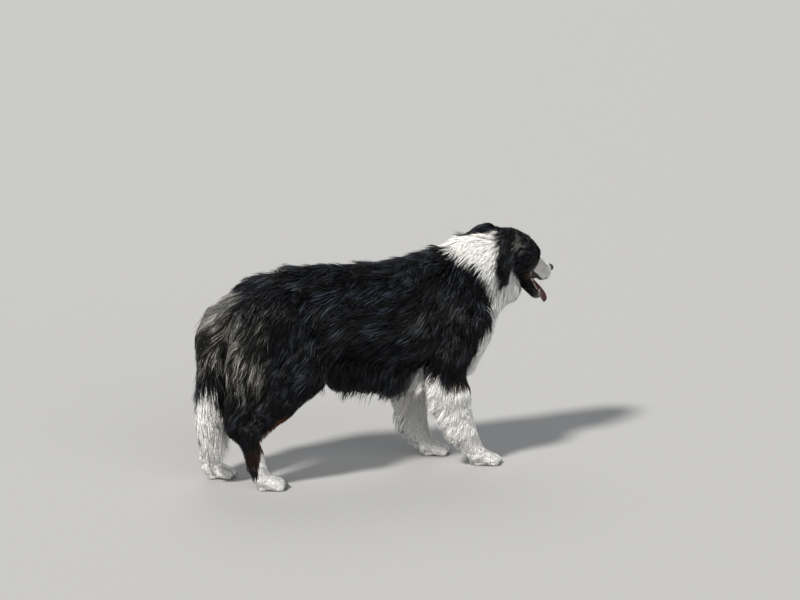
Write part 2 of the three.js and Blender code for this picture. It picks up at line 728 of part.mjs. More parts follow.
const dog = new THREE.Group();
dog.name = "border_collie";
for (const [name, paint] of Object.entries(PAINT)) {
  const material = new THREE.MeshStandardMaterial({ color: COLOUR[paint], roughness: 0.8 });
  const mesh = new THREE.Mesh(geometryOf(solids[name]), material);
  mesh.name = name;
  dog.add(mesh);
}

// The origin goes to the floor, under the middle of the whole animal's box.
const whole = new THREE.Box3().setFromObject(dog);
const middle = whole.getCenter(new THREE.Vector3());
for (const mesh of dog.children) mesh.geometry.translate(-middle.x, -middle.y, 0);

export default dog;
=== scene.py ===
"""A long-coated sheepdog, standing with its head turned.

The anatomy is laid out in millimetres in the animal's own axes: +X forward, +Y its left, +Z up and
the floor at Z = 0. Every piece is made there, and its corners are then moved to the frame's origin,
in metres."""

import math

import bpy
import numpy as np
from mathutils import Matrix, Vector, kdtree


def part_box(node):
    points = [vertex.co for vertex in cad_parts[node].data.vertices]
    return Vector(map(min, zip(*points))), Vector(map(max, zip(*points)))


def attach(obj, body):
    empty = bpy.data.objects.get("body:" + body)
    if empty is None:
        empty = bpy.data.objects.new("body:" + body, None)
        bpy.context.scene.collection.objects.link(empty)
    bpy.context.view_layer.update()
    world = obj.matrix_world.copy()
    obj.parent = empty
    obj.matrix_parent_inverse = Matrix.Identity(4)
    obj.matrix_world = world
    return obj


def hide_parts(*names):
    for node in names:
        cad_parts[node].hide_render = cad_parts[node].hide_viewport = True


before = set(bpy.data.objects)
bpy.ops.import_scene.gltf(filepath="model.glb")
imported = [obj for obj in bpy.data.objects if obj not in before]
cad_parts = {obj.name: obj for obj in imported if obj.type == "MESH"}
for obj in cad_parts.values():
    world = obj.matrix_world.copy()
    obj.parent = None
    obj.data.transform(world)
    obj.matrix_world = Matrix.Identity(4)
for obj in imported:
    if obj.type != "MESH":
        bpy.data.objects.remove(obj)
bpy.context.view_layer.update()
rng = np.random.default_rng(11)

# ------------------------------------------------------------------ sizes of the animal, mm
HEAD_YAW = math.radians(22)
HEAD_PITCH = math.radians(-25)
JAW_OPEN = math.radians(20)
EYE_RADIUS = 10.5
EYE_PLACE = (53, 29, 4)
NOSE_RADII = (12, 14.5, 12)
NOSE_PLACE = (147, 0, -7.5)
GAZE_ASIDE, GAZE_UP = 0.42, 0.06  # how far each eye looks aside and up for each step forward
OUTSIDE = 60.0  # distance at which a field stops counting
SIDES = (-1, 1)  # right and left
RIPPLE_WAVES, RIPPLE_SHARE = 7, 2.6  # waves in a ripple, and what their sum is divided by


def vec(*numbers):
    return np.array(numbers, float)


def unit(v):
    return v / np.maximum(np.linalg.norm(v, axis=-1, keepdims=True), 1e-9)


def dot(a, b):
    return np.sum(a * b, axis=-1)


def smooth(value, low, high):
    """0 below low, 1 above high, and a soft step between them."""
    t = np.clip((value - low) / (high - low), 0, 1)
    return t * t * (3 - 2 * t)


def mix(a, b, t):
    return a + (b - a) * t


X, Y, Z = vec(1, 0, 0), vec(0, 1, 0), vec(0, 0, 1)
HEAD = vec(454, 34, 538)  # middle of the brain case
FORWARD = vec(math.cos(HEAD_PITCH) * math.cos(HEAD_YAW), math.cos(HEAD_PITCH) * math.sin(HEAD_YAW),
              math.sin(HEAD_PITCH))
LEFT = vec(-math.sin(HEAD_YAW), math.cos(HEAD_YAW), 0)
ABOVE = np.cross(FORWARD, LEFT)
JAW_FORWARD = FORWARD * math.cos(JAW_OPEN) - ABOVE * math.sin(JAW_OPEN)
JAW_ABOVE = np.cross(JAW_FORWARD, LEFT)


def in_head(f, l, u):
    return HEAD + FORWARD * f + LEFT * l + ABOVE * u


HINGE = in_head(32, 0, -49)


def in_jaw(f, l, u):
    return HINGE + JAW_FORWARD * f + LEFT * l + JAW_ABOVE * u


def head_axes(p):
    d = p - HEAD
    return d @ FORWARD, d @ LEFT, d @ ABOVE


def middle(node):
    """The middle of a CAD node's box, in millimetres."""
    low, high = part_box(node)
    return (vec(*low) + vec(*high)) * 500


EYES = {s: in_head(EYE_PLACE[0], s * EYE_PLACE[1], EYE_PLACE[2]) for s in SIDES}
GAZE = {s: unit(FORWARD + LEFT * (GAZE_ASIDE * s) + ABOVE * GAZE_UP) for s in SIDES}
ORIGIN = (EYES[1] + EYES[-1] - middle("eye_left") - middle("eye_right")) / 2
ORIGIN[2] = 0  # both floors are at Z = 0


def metres(p):
    return (np.asarray(p, float) - ORIGIN) / 1000


def ripple(p, size, seed=0):
    """A smooth random value, about -1 to 1, that changes over the given size."""
    waves = np.random.default_rng(seed)
    total = np.zeros(len(p))
    for _ in range(RIPPLE_WAVES):
        direction = unit(waves.normal(size=3)) * waves.uniform(0.7, 1.5) * 2 * math.pi / size
        total += np.sin(p @ direction + waves.uniform(0, 2 * math.pi))
    return total / RIPPLE_SHARE


# ------------------------------------------------------------------ hair of each place
# length mm, half width mm, locks to the square centimetre, hanging, wave mm, clumping, stray mm
HAIR = {
    "back": (74, 1.3, 5.1, 0.14, 3, 0.46, 8),
    "rump": (80, 1.3, 4.9, 0.22, 5, 0.52, 9),
    "belly": (96, 1.1, 6.2, 0.85, 4, 0.6, 30),
    "neck": (72, 1.2, 6.8, 0.25, 2, 0.3, 7),
    "bib": (84, 1.3, 7.8, 0.45, 2.5, 0.3, 6),
    "arm": (50, 1.15, 6.8, 0.15, 1.6, 0.36, 4),
    "breech": (108, 1.15, 5.8, 0.45, 8, 0.6, 8),
    "tail": (104, 1.2, 9, 0.35, 5, 0.45, 7),
    "plume": (108, 1.35, 13, 0.2, 2.5, 0.28, 5),
    "shank": (18, 0.75, 18, 0, 0.4, 0.15, 1.5),
    "feather": (66, 0.85, 8, 0.45, 5.5, 0.5, 12),
    "fringe": (34, 0.9, 14, 0.35, 2, 0.45, 5),
    "foot": (10, 0.68, 22, 0, 0.3, 0.15, 1),
    "skull": (15, 0.9, 23, 0, 0.5, 0.3, 2),
    "cheek": (32, 0.9, 18, 0.2, 2, 0.45, 5),
    "face": (7, 0.7, 36, 0, 0.2, 0.15, 0.5),
    "ear": (54, 0.9, 16, 0.5, 5, 0.5, 13),
}
# gloss, roughness, softness
HAIR_LOOKS = {"black": (0.21, 0.27, 0), "tan": (0.27, 0.3, 0), "white": (0.2, 0.6, 0.3)}
HAIR_KEYS = list(HAIR)
HAIR_TABLE = np.array([HAIR[key] for key in HAIR_KEYS])

# ------------------------------------------------------------------ flesh


class Bone:
    """A tapered limb of flesh from a to b: half width, half depth and depth of coat at each end."""

    def __init__(self, a, ra, b, rb, up, blend, hair, region, lie=None, only=None, cut=False):
        self.a, self.b = np.asarray(a, float), np.asarray(b, float)
        self.run = self.b - self.a
        self.length = float(np.linalg.norm(self.run))
        self.axis = self.run / self.length
        self.side = unit(np.cross(up, self.axis))
        self.top = np.cross(self.axis, self.side)
        self.ra, self.rb = (tuple(r) + (0,) * (3 - len(r)) for r in (ra, rb))
        self.blend, self.hair, self.region = blend, hair, region
        self.only, self.cut = only, cut
        self.lie = unit(self.axis + vec(-0.12, 0, 0) if lie is None else vec(*lie))

    def radii(self, coat):
        more = (self.ra[2], self.rb[2]) if coat else (0, 0)
        return [vec(r[0] + m, r[1] + m) for r, m in zip((self.ra, self.rb), more)]

    def near(self, p, reach):
        """Which points lie in the limb's box, widened by the reach."""
        low, high = np.minimum(self.a, self.b) - reach, np.maximum(self.a, self.b) + reach
        return np.all((p > low) & (p < high), axis=1)

    def distance(self, p, coat):
        """Signed distance from points to the limb's surface, or to its coat's."""
        (wa, ha), (wb, hb) = self.radii(coat)
        q = p - self.a
        t = np.clip(q @ self.axis / self.length, 0, 1)
        q = q - t[:, None] * self.run
        w, h = wa + (wb - wa) * t, ha + (hb - ha) * t
        e = (w + h) / 2
        x, y, z = q @ self.axis / e, q @ self.side / w, q @ self.top / h
        k0 = np.sqrt(x * x + y * y + z * z)
        k1 = np.sqrt((x / e) ** 2 + (y / w) ** 2 + (z / h) ** 2)
        return np.where(k1 > 1e-9, k0 * (k0 - 1) / np.maximum(k1, 1e-9), -np.minimum(w, h))

    def join(self, field, p, coat):
        """The field of the limbs so far, with this one melted in, or cut away."""
        d = self.distance(p, coat)
        if self.cut:
            field, d = -field, d
        h = np.maximum(self.blend - np.abs(field - d), 0) / self.blend
        field = np.minimum(field, d) - h * h * self.blend / 4
        return -field if self.cut else field


BONES = []


def bone(*args, **settings):
    BONES.append(Bone(*args, **settings))


def chain(stations, up, blend, hair, region, **settings):
    for (a, ra), (b, rb) in zip(stations[:-1], stations[1:]):
        bone(a, ra, b, rb, up, blend, hair, region, **settings)


def mass(centre, radii, coat, along, up, blend, hair, region, **settings):
    """An egg-shaped mass: half length along its axis, half width, half height."""
    long, wide, high = radii
    half = max(long - (wide + high) / 2, 0.5)
    centre, along = np.asarray(centre, float), unit(np.asarray(along, float))
    size = (wide, high, coat)
    a, b = centre - along * half, centre + along * half
    bone(a, size, b, size, up, blend, hair, region, **settings)


LEGS = {
    "right": dict(
        side=-1, elbow=vec(236, -70, 285), wrist=vec(290, -62, 90), fore_paw=vec(318, -58, 34),
        knee=vec(-138, -74, 282), hock=vec(-280, -72, 150), hind_paw=vec(-250, -70, 34),
        breech=vec(-284, -68, 300), breech_low=vec(-298, -68, 216), breech_tip=vec(-318, -66, 154)),
    "left": dict(
        side=1, elbow=vec(203, 70, 285), wrist=vec(204, 66, 88), fore_paw=vec(224, 62, 34),
        knee=vec(-205, 72, 272), hock=vec(-342, 66, 150), hind_paw=vec(-346, 60, 34),
        breech=vec(-312, 68, 310), breech_low=vec(-344, 66, 205), breech_tip=vec(-358, 66, 154)),
}
BACKWARDS = (-1, 0, -0.45)
TOE_PLACES = (-1.5, -0.5, 0.5, 1.5)


def toe_ends(x, y, place):
    reach = 52 if abs(place) < 1 else 40
    return vec(x + 18, y + 11 * place, 20), vec(x + reach, y + 14 * place, 10)


def trunk_and_neck():
    chain([((-258, 0, 411), (56, 58, 14)), ((-190, 0, 427), (74, 77, 14)),
           ((-75, 0, 433), (68, 76, 20))], Z, 30, "rump", "trunk", lie=BACKWARDS)
    chain([((-75, 0, 433), (68, 76, 20)), ((40, 0, 408), (82, 100, 17)),
           ((150, 0, 392), (86, 117, 18)), ((235, 0, 392), (70, 106, 18))],
          Z, 30, "back", "trunk", lie=BACKWARDS)
    bone((110, 0, 484), (30, 20, 14), (215, 0, 486), (34, 30, 16), Z, 40, "neck", "trunk",
         lie=BACKWARDS)
    mass((222, 0, 536), (20, 25, 24), 0, X, Z, 18, "neck", "trunk", lie=BACKWARDS, only="coat")
    mass((-146, 0, 504), (42, 44, 34), 0, X, Z, 26, "rump", "trunk", lie=BACKWARDS, only="coat")
    mass((292, 0, 365), (34, 44, 50), 16, X, Z, 40, "bib", "neck", lie=(-0.25, 0, -1))
    chain([((240, 0, 240), (38, 34)), ((110, 0, 246), (48, 54)), ((-24, 0, 272), (40, 62))],
          Z, 24, "belly", "trunk", lie=(-0.45, 0, -1), only="coat")
    chain([((226, 0, 258), (18, 18)), ((110, 0, 266), (24, 32)), ((-20, 0, 292), (20, 36))],
          Z, 20, "belly", "trunk", lie=(-0.45, 0, -1), only="skin")
    chain([((225, 0, 448), (64, 84, 16)), ((310, 8, 492), (54, 64, 18)),
           ((400, 26, 520), (46, 50, 18))], Z, 30, "neck", "neck", lie=(-0.85, 0, -0.75))
    chain([((405, 32, 450), (56, 44)), ((338, 6, 392), (58, 44)), ((312, 0, 324), (56, 48)),
           ((300, 0, 264), (42, 42))], Z, 26, "bib", "neck", lie=(-0.3, 0, -1), only="coat")
    chain([((400, 31, 458), (34, 22)), ((338, 6, 396), (36, 25)), ((311, 0, 330), (34, 29)),
           ((299, 0, 276), (22, 22))], Z, 20, "bib", "neck", lie=(-0.3, 0, -1), only="skin")
    mass((422, 26, 434), (27, 41, 25), 11, X, Z, 20, "bib", "neck", lie=(-0.45, 0, -1))


def paw(joint, region):
    x, y, _ = joint
    settings = dict(up=Z, hair="foot", region=region, lie=(1, 0, -0.6))
    bone((x, y, 28), (21, 15, 2), (x + 22, y, 22), (24, 14, 2), blend=8, **settings)
    mass((x + 8, y, 9), (17.5, 15.5, 10.5), 2.5, X, blend=6, **settings)
    for place in TOE_PLACES:
        knuckle, tip = toe_ends(x, y, place)
        bone(knuckle, (9.5, 12, 2), tip, (9.5, 11, 2), blend=5, **settings)


def fore_leg(name, side, elbow, wrist, fore_paw, **_):
    region = "foreleg_" + name
    halfway = mix(elbow, wrist, 0.45)
    bone((205, side * 42, 476), (28, 50, 16), (292, side * 60, 368), (34, 42, 18), X, 35, "arm",
         "trunk", lie=(-0.5, 0, -1))
    bone((288, side * 64, 362), (33, 42, 16), elbow, (27, 34, 14), X, 30, "arm", region,
         lie=(-0.2, 0, -1))
    bone(elbow, (25, 31, 10), halfway, (19, 22, 7), X, 20, "arm", region)
    bone(halfway, (19, 22, 7), wrist, (15, 18, 4), X, 20, "shank", region)
    bone(wrist, (15, 17, 4), fore_paw, (16, 18, 3), X, 12, "shank", region)
    paw(fore_paw, region)
    settings = dict(up=X, blend=14, hair="feather", region=region, lie=(-0.8, 0, -1))
    chain([(elbow + vec(-34, 0, -35), (15, 34)), (halfway + vec(-42, 0, -14), (14, 36)),
           (wrist + vec(-30, 0, -2), (11, 23)), (fore_paw + vec(-30, 0, 12), (8, 12))],
          only="coat", **settings)
    chain([(elbow + vec(-26, 0, -35), (6, 22)), (halfway + vec(-34, 0, -14), (5, 22)),
           (wrist + vec(-24, 0, -2), (4, 12)), (fore_paw + vec(-24, 0, 16), (3, 5))],
          only="skin", **settings)


def hind_leg(name, side, knee, hock, hind_paw, breech, breech_low, breech_tip, **_):
    region = "hindleg_" + name
    lower = mix(knee, hock, 0.4)
    heel = mix(hind_paw, hock, 0.2)
    back_down = (-0.5, 0, -1)
    bone((-216, side * 56, 429), (40, 72, 14), knee, (31, 42, 14), X, 30, "rump", region,
         lie=back_down)
    mass((-256, side * 48, 392), (44, 34, 52), 12, X, Z, 30, "rump", region, lie=(-0.6, 0, -1))
    bone((-246, side * 54, 370), (34, 44, 12), lower, (24, 34, 8), X, 24, "arm", region,
         lie=back_down)
    bone((-96, side * 56, 335), (26, 30, 12), (-30, side * 40, 385), (40, 44, 14), X, 30, "back",
         "trunk", lie=(-0.7, 0, -1))
    shin = mix(knee, hock, 0.5)
    bone(knee, (30, 42, 14), shin, (22, 32, 11), X, 20, "arm", region)
    bone(shin, (22, 32, 11), hock + vec(16, 0, 4), (14, 21, 12), X, 20, "shank", region)
    point_of_hock = hock + vec(-16, 0, 10)
    bone(point_of_hock, (11, 12, 3), hock + vec(-8, 0, -10), (11, 14, 3), X, 14, "shank", region)
    bone(hock, (13, 17, 4), hind_paw, (15, 16, 3), X, 14, "shank", region)
    paw(hind_paw, region)
    settings = dict(up=X, hair="breech", region=region, lie=(-0.55, 0, -1))
    chain([((-282, side * 58, 385), (38, 40)), (breech, (36, 46)), (breech_low, (22, 31)),
           (breech_tip, (12, 16))], blend=24, only="coat", **settings)
    chain([((-276, side * 58, 385), (22, 24)), (breech, (18, 26)), (breech_low, (9, 16)),
           (breech_tip + vec(2, 0, 6), (3, 5))], blend=14, only="skin", **settings)
    bone(hock + vec(-6, 0, -4), (12, 14), heel + vec(-16, 0, 0), (9, 12), X, 14, "fringe", region,
         lie=(-0.3, 0, -1), only="coat")


TAIL_LINE = [vec(x, 0, z) for x, z in (
    (-264, 450), (-330, 416), (-346, 372), (-349, 250), (-352, 162), (-342, 84))]
TAIL_COAT = [(30, 28), (28, 34), (30, 36), (33, 38), (31, 41), (24, 37)]
TAIL_FLESH = [(24, 24), (20, 20), (17, 17), (15, 15), (12, 12), (3, 3)]
PLUME_START = 2  # the first station with the brush's thicker hair
TAIL_END = 4  # the flesh stops at this station, and its last locks reach the tip


def tail():
    for i, (a, b) in enumerate(zip(TAIL_LINE[:-1], TAIL_LINE[1:])):
        settings = dict(up=X, blend=20, hair="tail" if i < PLUME_START else "plume", region="tail")
        lie = unit(b - a)
        bone(a, TAIL_COAT[i], b, TAIL_COAT[i + 1], lie=lie, only="coat", **settings)
        if i < TAIL_END:
            bone(a, TAIL_FLESH[i], b, TAIL_FLESH[i + 1], lie=lie, only="skin", **settings)


def head_mass(place, radii, coat, blend, hair, turn=0, lie=(-1, 0, 0)):
    lie = FORWARD * lie[0] + LEFT * lie[1] + ABOVE * lie[2]
    mass(in_head(*place), radii, coat, FORWARD + LEFT * turn, ABOVE, blend, hair, "head", lie=lie)


def skull():
    head_mass((-6, 0, -3), (57, 49, 42), 5, 12, "skull", lie=(-1, 0, -0.2))
    head_mass((-34, 0, -20), (40, 46, 40), 12, 20, "cheek", lie=(-1, 0, -0.7))
    for s in SIDES:
        head_mass((16, s * 34, -20), (34, 22, 28), 5, 18, "cheek", turn=-0.25 * s,
                  lie=(-1, 0, -0.7))
        head_mass((35, s * 22, 12), (20, 15, 14), 2, 14, "skull", lie=(-1, 0.3 * s, 0.2))
        head_mass((40, s * 26, -14), (20, 12, 10), 2, 12, "face", lie=(-1, 0.1 * s, -0.4))
    chain([(in_head(44, 0, -15), (34, 26, 2)), (in_head(82, 0, -20), (27, 21, 3)),
           (in_head(127.5, 0, -17), (21, 16, 2))], ABOVE, 16, "face", "head",
          lie=-FORWARD - ABOVE * 0.2)
    chain([(in_head(58, 0, -33), (30, 15, 2)), (in_head(106, 0, -38), (24, 15, 2)),
           (in_head(128.5, 0, -32), (20, 13, 2))], ABOVE, 8, "face", "head",
          lie=-FORWARD - ABOVE * 0.5)
    chain([(in_head(62, 0, -56), (19, 14)), (in_head(104, 0, -56), (16, 13)),
           (in_head(126, 0, -48), (11, 9))], ABOVE, 4, "face", "head", only="skin", cut=True)
    chain([(in_jaw(-10, 0, -1), (31, 15, 5)), (in_jaw(45, 0, -1), (21, 10, 6)),
           (in_jaw(102, 0, -1), (13, 8, 4))], JAW_ABOVE, 8, "face", "head",
          lie=-JAW_FORWARD - JAW_ABOVE * 0.4)


LID = 1.9  # thickness of a lid
LID_HAIR = 1.8  # how far the hair stands out over a lid
SOCKET_GAP = 0.25
EYE_OPENING = (9.6, 7.5, 5.4)  # half its width, depth and height


def ball(centre, radius, across, blend, **settings):
    """A round mass, a touch longer across, because a limb of flesh needs some length."""
    mass(centre, (radius + 0.4, radius, radius), 0, across, ABOVE, blend, **settings)


def eyelids():
    """Lids round each eyeball, the hair over them, the opening between them, and the socket."""
    for s in SIDES:
        across = unit(np.cross(ABOVE, GAZE[s]))
        settings = dict(hair="face", region="head", lie=-FORWARD + LEFT * (0.3 * s) + ABOVE * 0.1)
        lid = EYE_RADIUS + LID
        ball(EYES[s], lid, across, 9, only="skin", **settings)
        ball(EYES[s], lid + LID_HAIR, across, 9, only="coat", **settings)
        settings.update(only="skin", cut=True)
        opening = EYES[s] + GAZE[s] * (EYE_RADIUS + 1) - ABOVE * 0.6
        mass(opening, EYE_OPENING, 0, across - ABOVE * 0.12 * s, ABOVE, 1.2, **settings)
        ball(EYES[s], EYE_RADIUS + SOCKET_GAP, across, 0.6, **settings)


EAR_LINES = {1: [(-44, 36, 15), (-88, 60, 20), (-112, 64, -34), (-70, 58, -94)],
             -1: [(-44, 34, 10), (-80, 54, 22), (-96, 64, -32), (-50, 56, -94)]}
EAR_COAT = [(24, 10), (30, 11), (32, 11), (30, 10), (25, 9), (18, 8), (10, 5)]
EAR_FLESH = [(20, 5), (25, 3.6), (26, 3.2), (24, 3.2), (19, 3), (13, 2.8), (6, 2.6)]


def curve_point(corners, t):
    """A point on a cubic curve given by its four corners."""
    a, b, c, d = corners
    s = 1 - t
    return a * s**3 + b * 3 * s * s * t + c * 3 * s * t * t + d * t**3


def ears():
    for s, line in EAR_LINES.items():
        corners = [in_head(f, s * l, u) for f, l, u in line]
        places = [curve_point(corners, i / 6) for i in range(7)]
        outwards = unit(FORWARD * -10 + LEFT * (s * 60) + ABOVE * 14)
        region = "ear_left" if s > 0 else "ear_right"
        for i in range(6):
            lie = unit(places[i + 1] - places[i] + FORWARD * -4)
            for sizes, only, blend in ((EAR_COAT, "coat", 6), (EAR_FLESH, "skin", 5)):
                bone(places[i], sizes[i], places[i + 1], sizes[i + 1], outwards, blend, "ear",
                     region, lie=lie, only=only)


trunk_and_neck()
for leg_name, leg in LEGS.items():
    fore_leg(leg_name, **leg)
    hind_leg(leg_name, **leg)
tail()
skull()
ears()
eyelids()

# ------------------------------------------------------------------ fields on grids


def slope(field, p, reach):
    """The direction in which a field of points grows fastest."""
    return unit(np.stack([field(p + e * reach) - field(p - e * reach) for e in (X, Y, Z)], 1))


class Grid:
    """Signed distance to the animal, or to given limbs, where three sets of planes cross."""

    def __init__(self, xs, ys, zs, coat, bones=None):
        self.axes = [np.asarray(a, float) for a in (xs, ys, zs)]
        self.low = vec(*(a[0] for a in self.axes))
        self.step = float(self.axes[0][1] - self.axes[0][0])
        self.values = np.full([len(a) for a in self.axes], OUTSIDE)
        for b in bones or BONES:
            if b.only in (None, "coat" if coat else "skin"):
                self.add(b, coat)

    def add(self, b, coat):
        reach = max(r.max() for r in b.radii(coat)) + b.blend + (OUTSIDE / 4 if coat else 14)
        low, high = np.minimum(b.a, b.b) - reach, np.maximum(b.a, b.b) + reach
        spans = tuple(slice(*np.searchsorted(axis, ends))
                      for axis, ends in zip(self.axes, zip(low, high)))
        box = self.values[spans]
        if box.size:
            planes_in = [axis[span] for axis, span in zip(self.axes, spans)]
            p = np.stack(np.meshgrid(*planes_in, indexing="ij"), -1).reshape(-1, 3)
            self.values[spans] = b.join(box.ravel(), p, coat).reshape(box.shape)

    def at(self, p):
        """The field between the crossings. The planes must be evenly spaced."""
        q = (p - self.low) / self.step
        i = np.clip(np.floor(q).astype(int), 0, np.array(self.values.shape) - 2)
        f = np.clip(q - i, 0, 1)
        total = np.zeros(len(p))
        for corner in np.ndindex(2, 2, 2):
            weight = np.prod(np.where(corner, f, 1 - f), axis=1)
            total += weight * self.values[tuple((i + corner).T)]
        return total

    def slope(self, p, reach=4.0):
        """The direction straight out of the field."""
        return slope(self.at, p, reach)


def flesh(p):
    """Exact signed distance to the skin."""
    d = np.full(len(p), OUTSIDE)
    for b in BONES:
        if b.only != "coat":
            near = b.near(p, max(r.max() for r in b.radii(False)) + b.blend + 16)
            if near.any():
                d[near] = b.join(d[near], p[near], False)
    return d


def surface(grid):
    """Corners and four-sided faces of the surface where the grid's field is zero."""
    d = grid.values
    n = d.shape
    inside = d < 0
    corners = list(np.ndindex(2, 2, 2))
    cells = sum(inside[i:n[0] - 1 + i, j:n[1] - 1 + j, k:n[2] - 1 + k].astype(np.int8)
                for i, j, k in corners)
    cut = np.argwhere((cells > 0) & (cells < 8))
    index = np.full(cells.shape, -1)
    index[tuple(cut.T)] = np.arange(len(cut))
    value = np.stack([d[tuple((cut + c).T)] for c in corners], 1)
    place = np.stack([np.stack([axis[cut[:, k] + c[k]] for k, axis in enumerate(grid.axes)], 1)
                      for c in corners], 1)
    total, weight = np.zeros((len(cut), 3)), np.zeros(len(cut))
    for a, ca in enumerate(corners):
        for b, cb in enumerate(corners):
            if b <= a or sum(abs(p - q) for p, q in zip(ca, cb)) != 1:
                continue
            m = (value[:, a] < 0) != (value[:, b] < 0)
            t = (value[m, a] / (value[m, a] - value[m, b]))[:, None]
            total[m] += place[m, a] * (1 - t) + place[m, b] * t
            weight[m] += 1
    faces = []
    ways = np.eye(3, dtype=int)
    for axis, step in enumerate(ways):
        a = inside[tuple(slice(0, s - e) for s, e in zip(n, step))]
        b = inside[tuple(slice(e, s) for s, e in zip(n, step))]
        edge = np.argwhere(a != b)
        u, v = ways[(axis + 1) % 3], ways[(axis + 2) % 3]
        quad = np.stack([index[tuple((edge - o).T)] for o in (u + v, v, 0 * u, u)], 1)
        flip = ~a[tuple(edge.T)]
        quad[flip] = quad[flip][:, ::-1]
        faces.append(quad)
    return total / weight[:, None], np.concatenate(faces)


def planes(*stretches):
    """Places of planes: each stretch runs from where the last one ended, (end, step)."""
    places = [stretches[0]]
    for end, step in stretches[1:]:
        count = max(int(round((end - places[-1]) / step)), 1)
        places.extend(np.linspace(places[-1], end, count + 1)[1:])
    return np.array(places)


# ------------------------------------------------------------------ markings
# the collar's rear edge, and the rear edge of the black cap on the head
COLLAR_Z = (200, 262, 324, 340, 358, 400, 454, 487, 516, 530, 540, 556, 600)
COLLAR_X = (300, 298, 302, 318, 339, 357, 348, 321, 294, 264, 242, 236, 226)
CAP_U = (-90, -76, -62, -45, -20, 60)
CAP_F = (34, 0, -52, -84, -95, -90)


def ear_root(p):
    """How far each point belongs to the tuft of long pale hairs in front of an ear's root."""
    f, l, u = head_axes(p)
    aside = smooth(np.abs(l), 34, 44)
    return smooth(np.abs(f + 58), 34, 12) * smooth(np.abs(u + 4), 30, 10) * aside


def markings(p, ear):
    """How white, tan and silver the coat is at each point, and ear how far it belongs to one."""
    f, l, u = head_axes(p)
    x, y, z = p.T
    right, off_head, off_body = y < 0, np.abs(l), np.abs(y)
    rough = ripple(p, 46, 3) * 5 + ripple(p, 17, 4) * 3
    # white collar between the black body and the black head
    collar = smooth(x - np.interp(z, COLLAR_Z, COLLAR_X) + rough, -5, 5)
    cap = smooth(f - np.interp(u, CAP_U, CAP_F) + rough * 0.7, -5, 5)
    cap = np.maximum(cap, smooth(f - 24, 0, 8) * smooth(u, -100, -88))
    white = collar * (1 - cap)
    # white muzzle with a short blaze, a lower jaw kept black (its black lips, and painted shade
    # under the muzzle), and black round the eyes
    edge = 60 - 12 * smooth(u, -12, 14) * smooth(-off_head, -22, -6)
    muzzle = smooth(f - edge + rough * 0.4, -4, 4)
    blaze = smooth(4.5 - off_head + rough * 0.25, -1.5, 1.5) * smooth(f, -6, 22) * smooth(u, 14, 24)
    chin = dot(p - HINGE, JAW_FORWARD)
    # the lower jaw is kept black, with a little silver: partly its black lips, partly painted shade
    # under the muzzle
    jaw = smooth(dot(p - HINGE, JAW_ABOVE), 17, 11) * smooth(chin, 14, 26) * cap
    muzzle = muzzle * (1 - jaw) + smooth(chin, 88, 102) * jaw * 0.35
    white = np.maximum(white, np.maximum(muzzle, blaze) * cap)
    for s in SIDES:
        white = white * smooth(np.linalg.norm(p - EYES[s], axis=1) + rough * 0.3, 17, 21)
    white = white * (1 - ear)
    # white forelegs and brisket
    fore = smooth(x - 62 * smooth(z, 150, 200), 70, 100) * smooth(z, 265, 250)
    fore_edge = np.where(right, 204, 214) + rough * 1.2 + smooth(40 - off_body, -6, 10) * 30
    fore_edge = fore_edge + smooth(x, 226, 196) * 26
    white = np.maximum(white, fore * smooth(z - fore_edge, 5, -5))
    brisket = smooth(34 - off_body + rough, -4, 6) * smooth(z + rough * 2, 238, 222)
    white = np.maximum(white, brisket * smooth(x, 120, 150) * smooth(x, 420, 380))
    # white hind feet and tail tip
    on_tail = smooth(off_body, 42, 34) * smooth(x, -285, -300)
    hind = smooth(x, -180, -200) * (1 - on_tail)
    sock = np.where(right, 18 + 66 * smooth(x, -270, -250), 84 + 20 * smooth(x, -352, -330))
    white = np.maximum(white, hind * smooth(z - (sock + rough * 0.6), 5, -5))
    over_tip = z - 206 + 56 * smooth(x, -348, -322) - rough * 1.5
    white = np.maximum(white, on_tail * smooth(over_tip, 10, -10))
    # tan between the black and the white: cheeks, brows, legs and under the tail
    cheek = smooth(f, 22, 38) * smooth(f, 64, 56) * smooth(off_head, 20, 30) * smooth(u, -8, -20)
    brow = smooth(np.sqrt((f - 47) ** 2 + (off_head - 22) ** 2 + (u - 25) ** 2), 9, 5)
    shin = np.where(right, -256, -322) + np.clip(z - 130, 0, 80) * 0.95
    hock = hind * smooth(z, 60, 75) * smooth(z, 200, 176) * smooth(x - shin + rough * 0.5, -4, 4)
    heel = hind * smooth(z, 30, 50) * smooth(z, 110, 80) * 0.15
    fore_band = fore * smooth(np.abs(z - fore_edge - 6), 12, 2) * smooth(off_body, 40, 54) * 0.25
    under_tail = smooth(x, -286, -296) * smooth(np.abs(z - 395), 40, 20) * smooth(off_body, 60, 40)
    tan = (cheek * cap * 0.5 + brow * 0.6 + hock * 0.85 + heel + fore_band
           + under_tail * (1 - on_tail) * 0.2)
    tan = np.clip(tan, 0, 1) * (1 - white) * (1 - ear * 0.8)
    # faded, silvery places; on the breeches partly faded hair and partly painted sunlit sheen
    # the breeches' silver: faded hair, with painted sunlit sheen in it
    breech = smooth(x, -228, -262) * smooth(z, 190, 290) * smooth(z, 440, 380) * (1 - on_tail)
    tail_top = on_tail * smooth(z, 255, 310)
    white = np.maximum(white, tail_top * smooth(z, 385, 420) * smooth(x, -302, -318) * 0.12)
    shoulder = (smooth(np.abs(x - 200), 110, 40) * smooth(np.abs(z - 360), 110, 40)
                * smooth(off_body, 50, 80))
    silver = (breech * 0.85 + tail_top * 0.9 + ear_root(p) + shoulder * 0.04 + jaw * 0.3
              + smooth(ripple(p, 90, 8), 0.2, 0.9) * 0.05)
    return white, tan, np.clip(silver, 0, 1) * (1 - white)


# ------------------------------------------------------------------ meshes


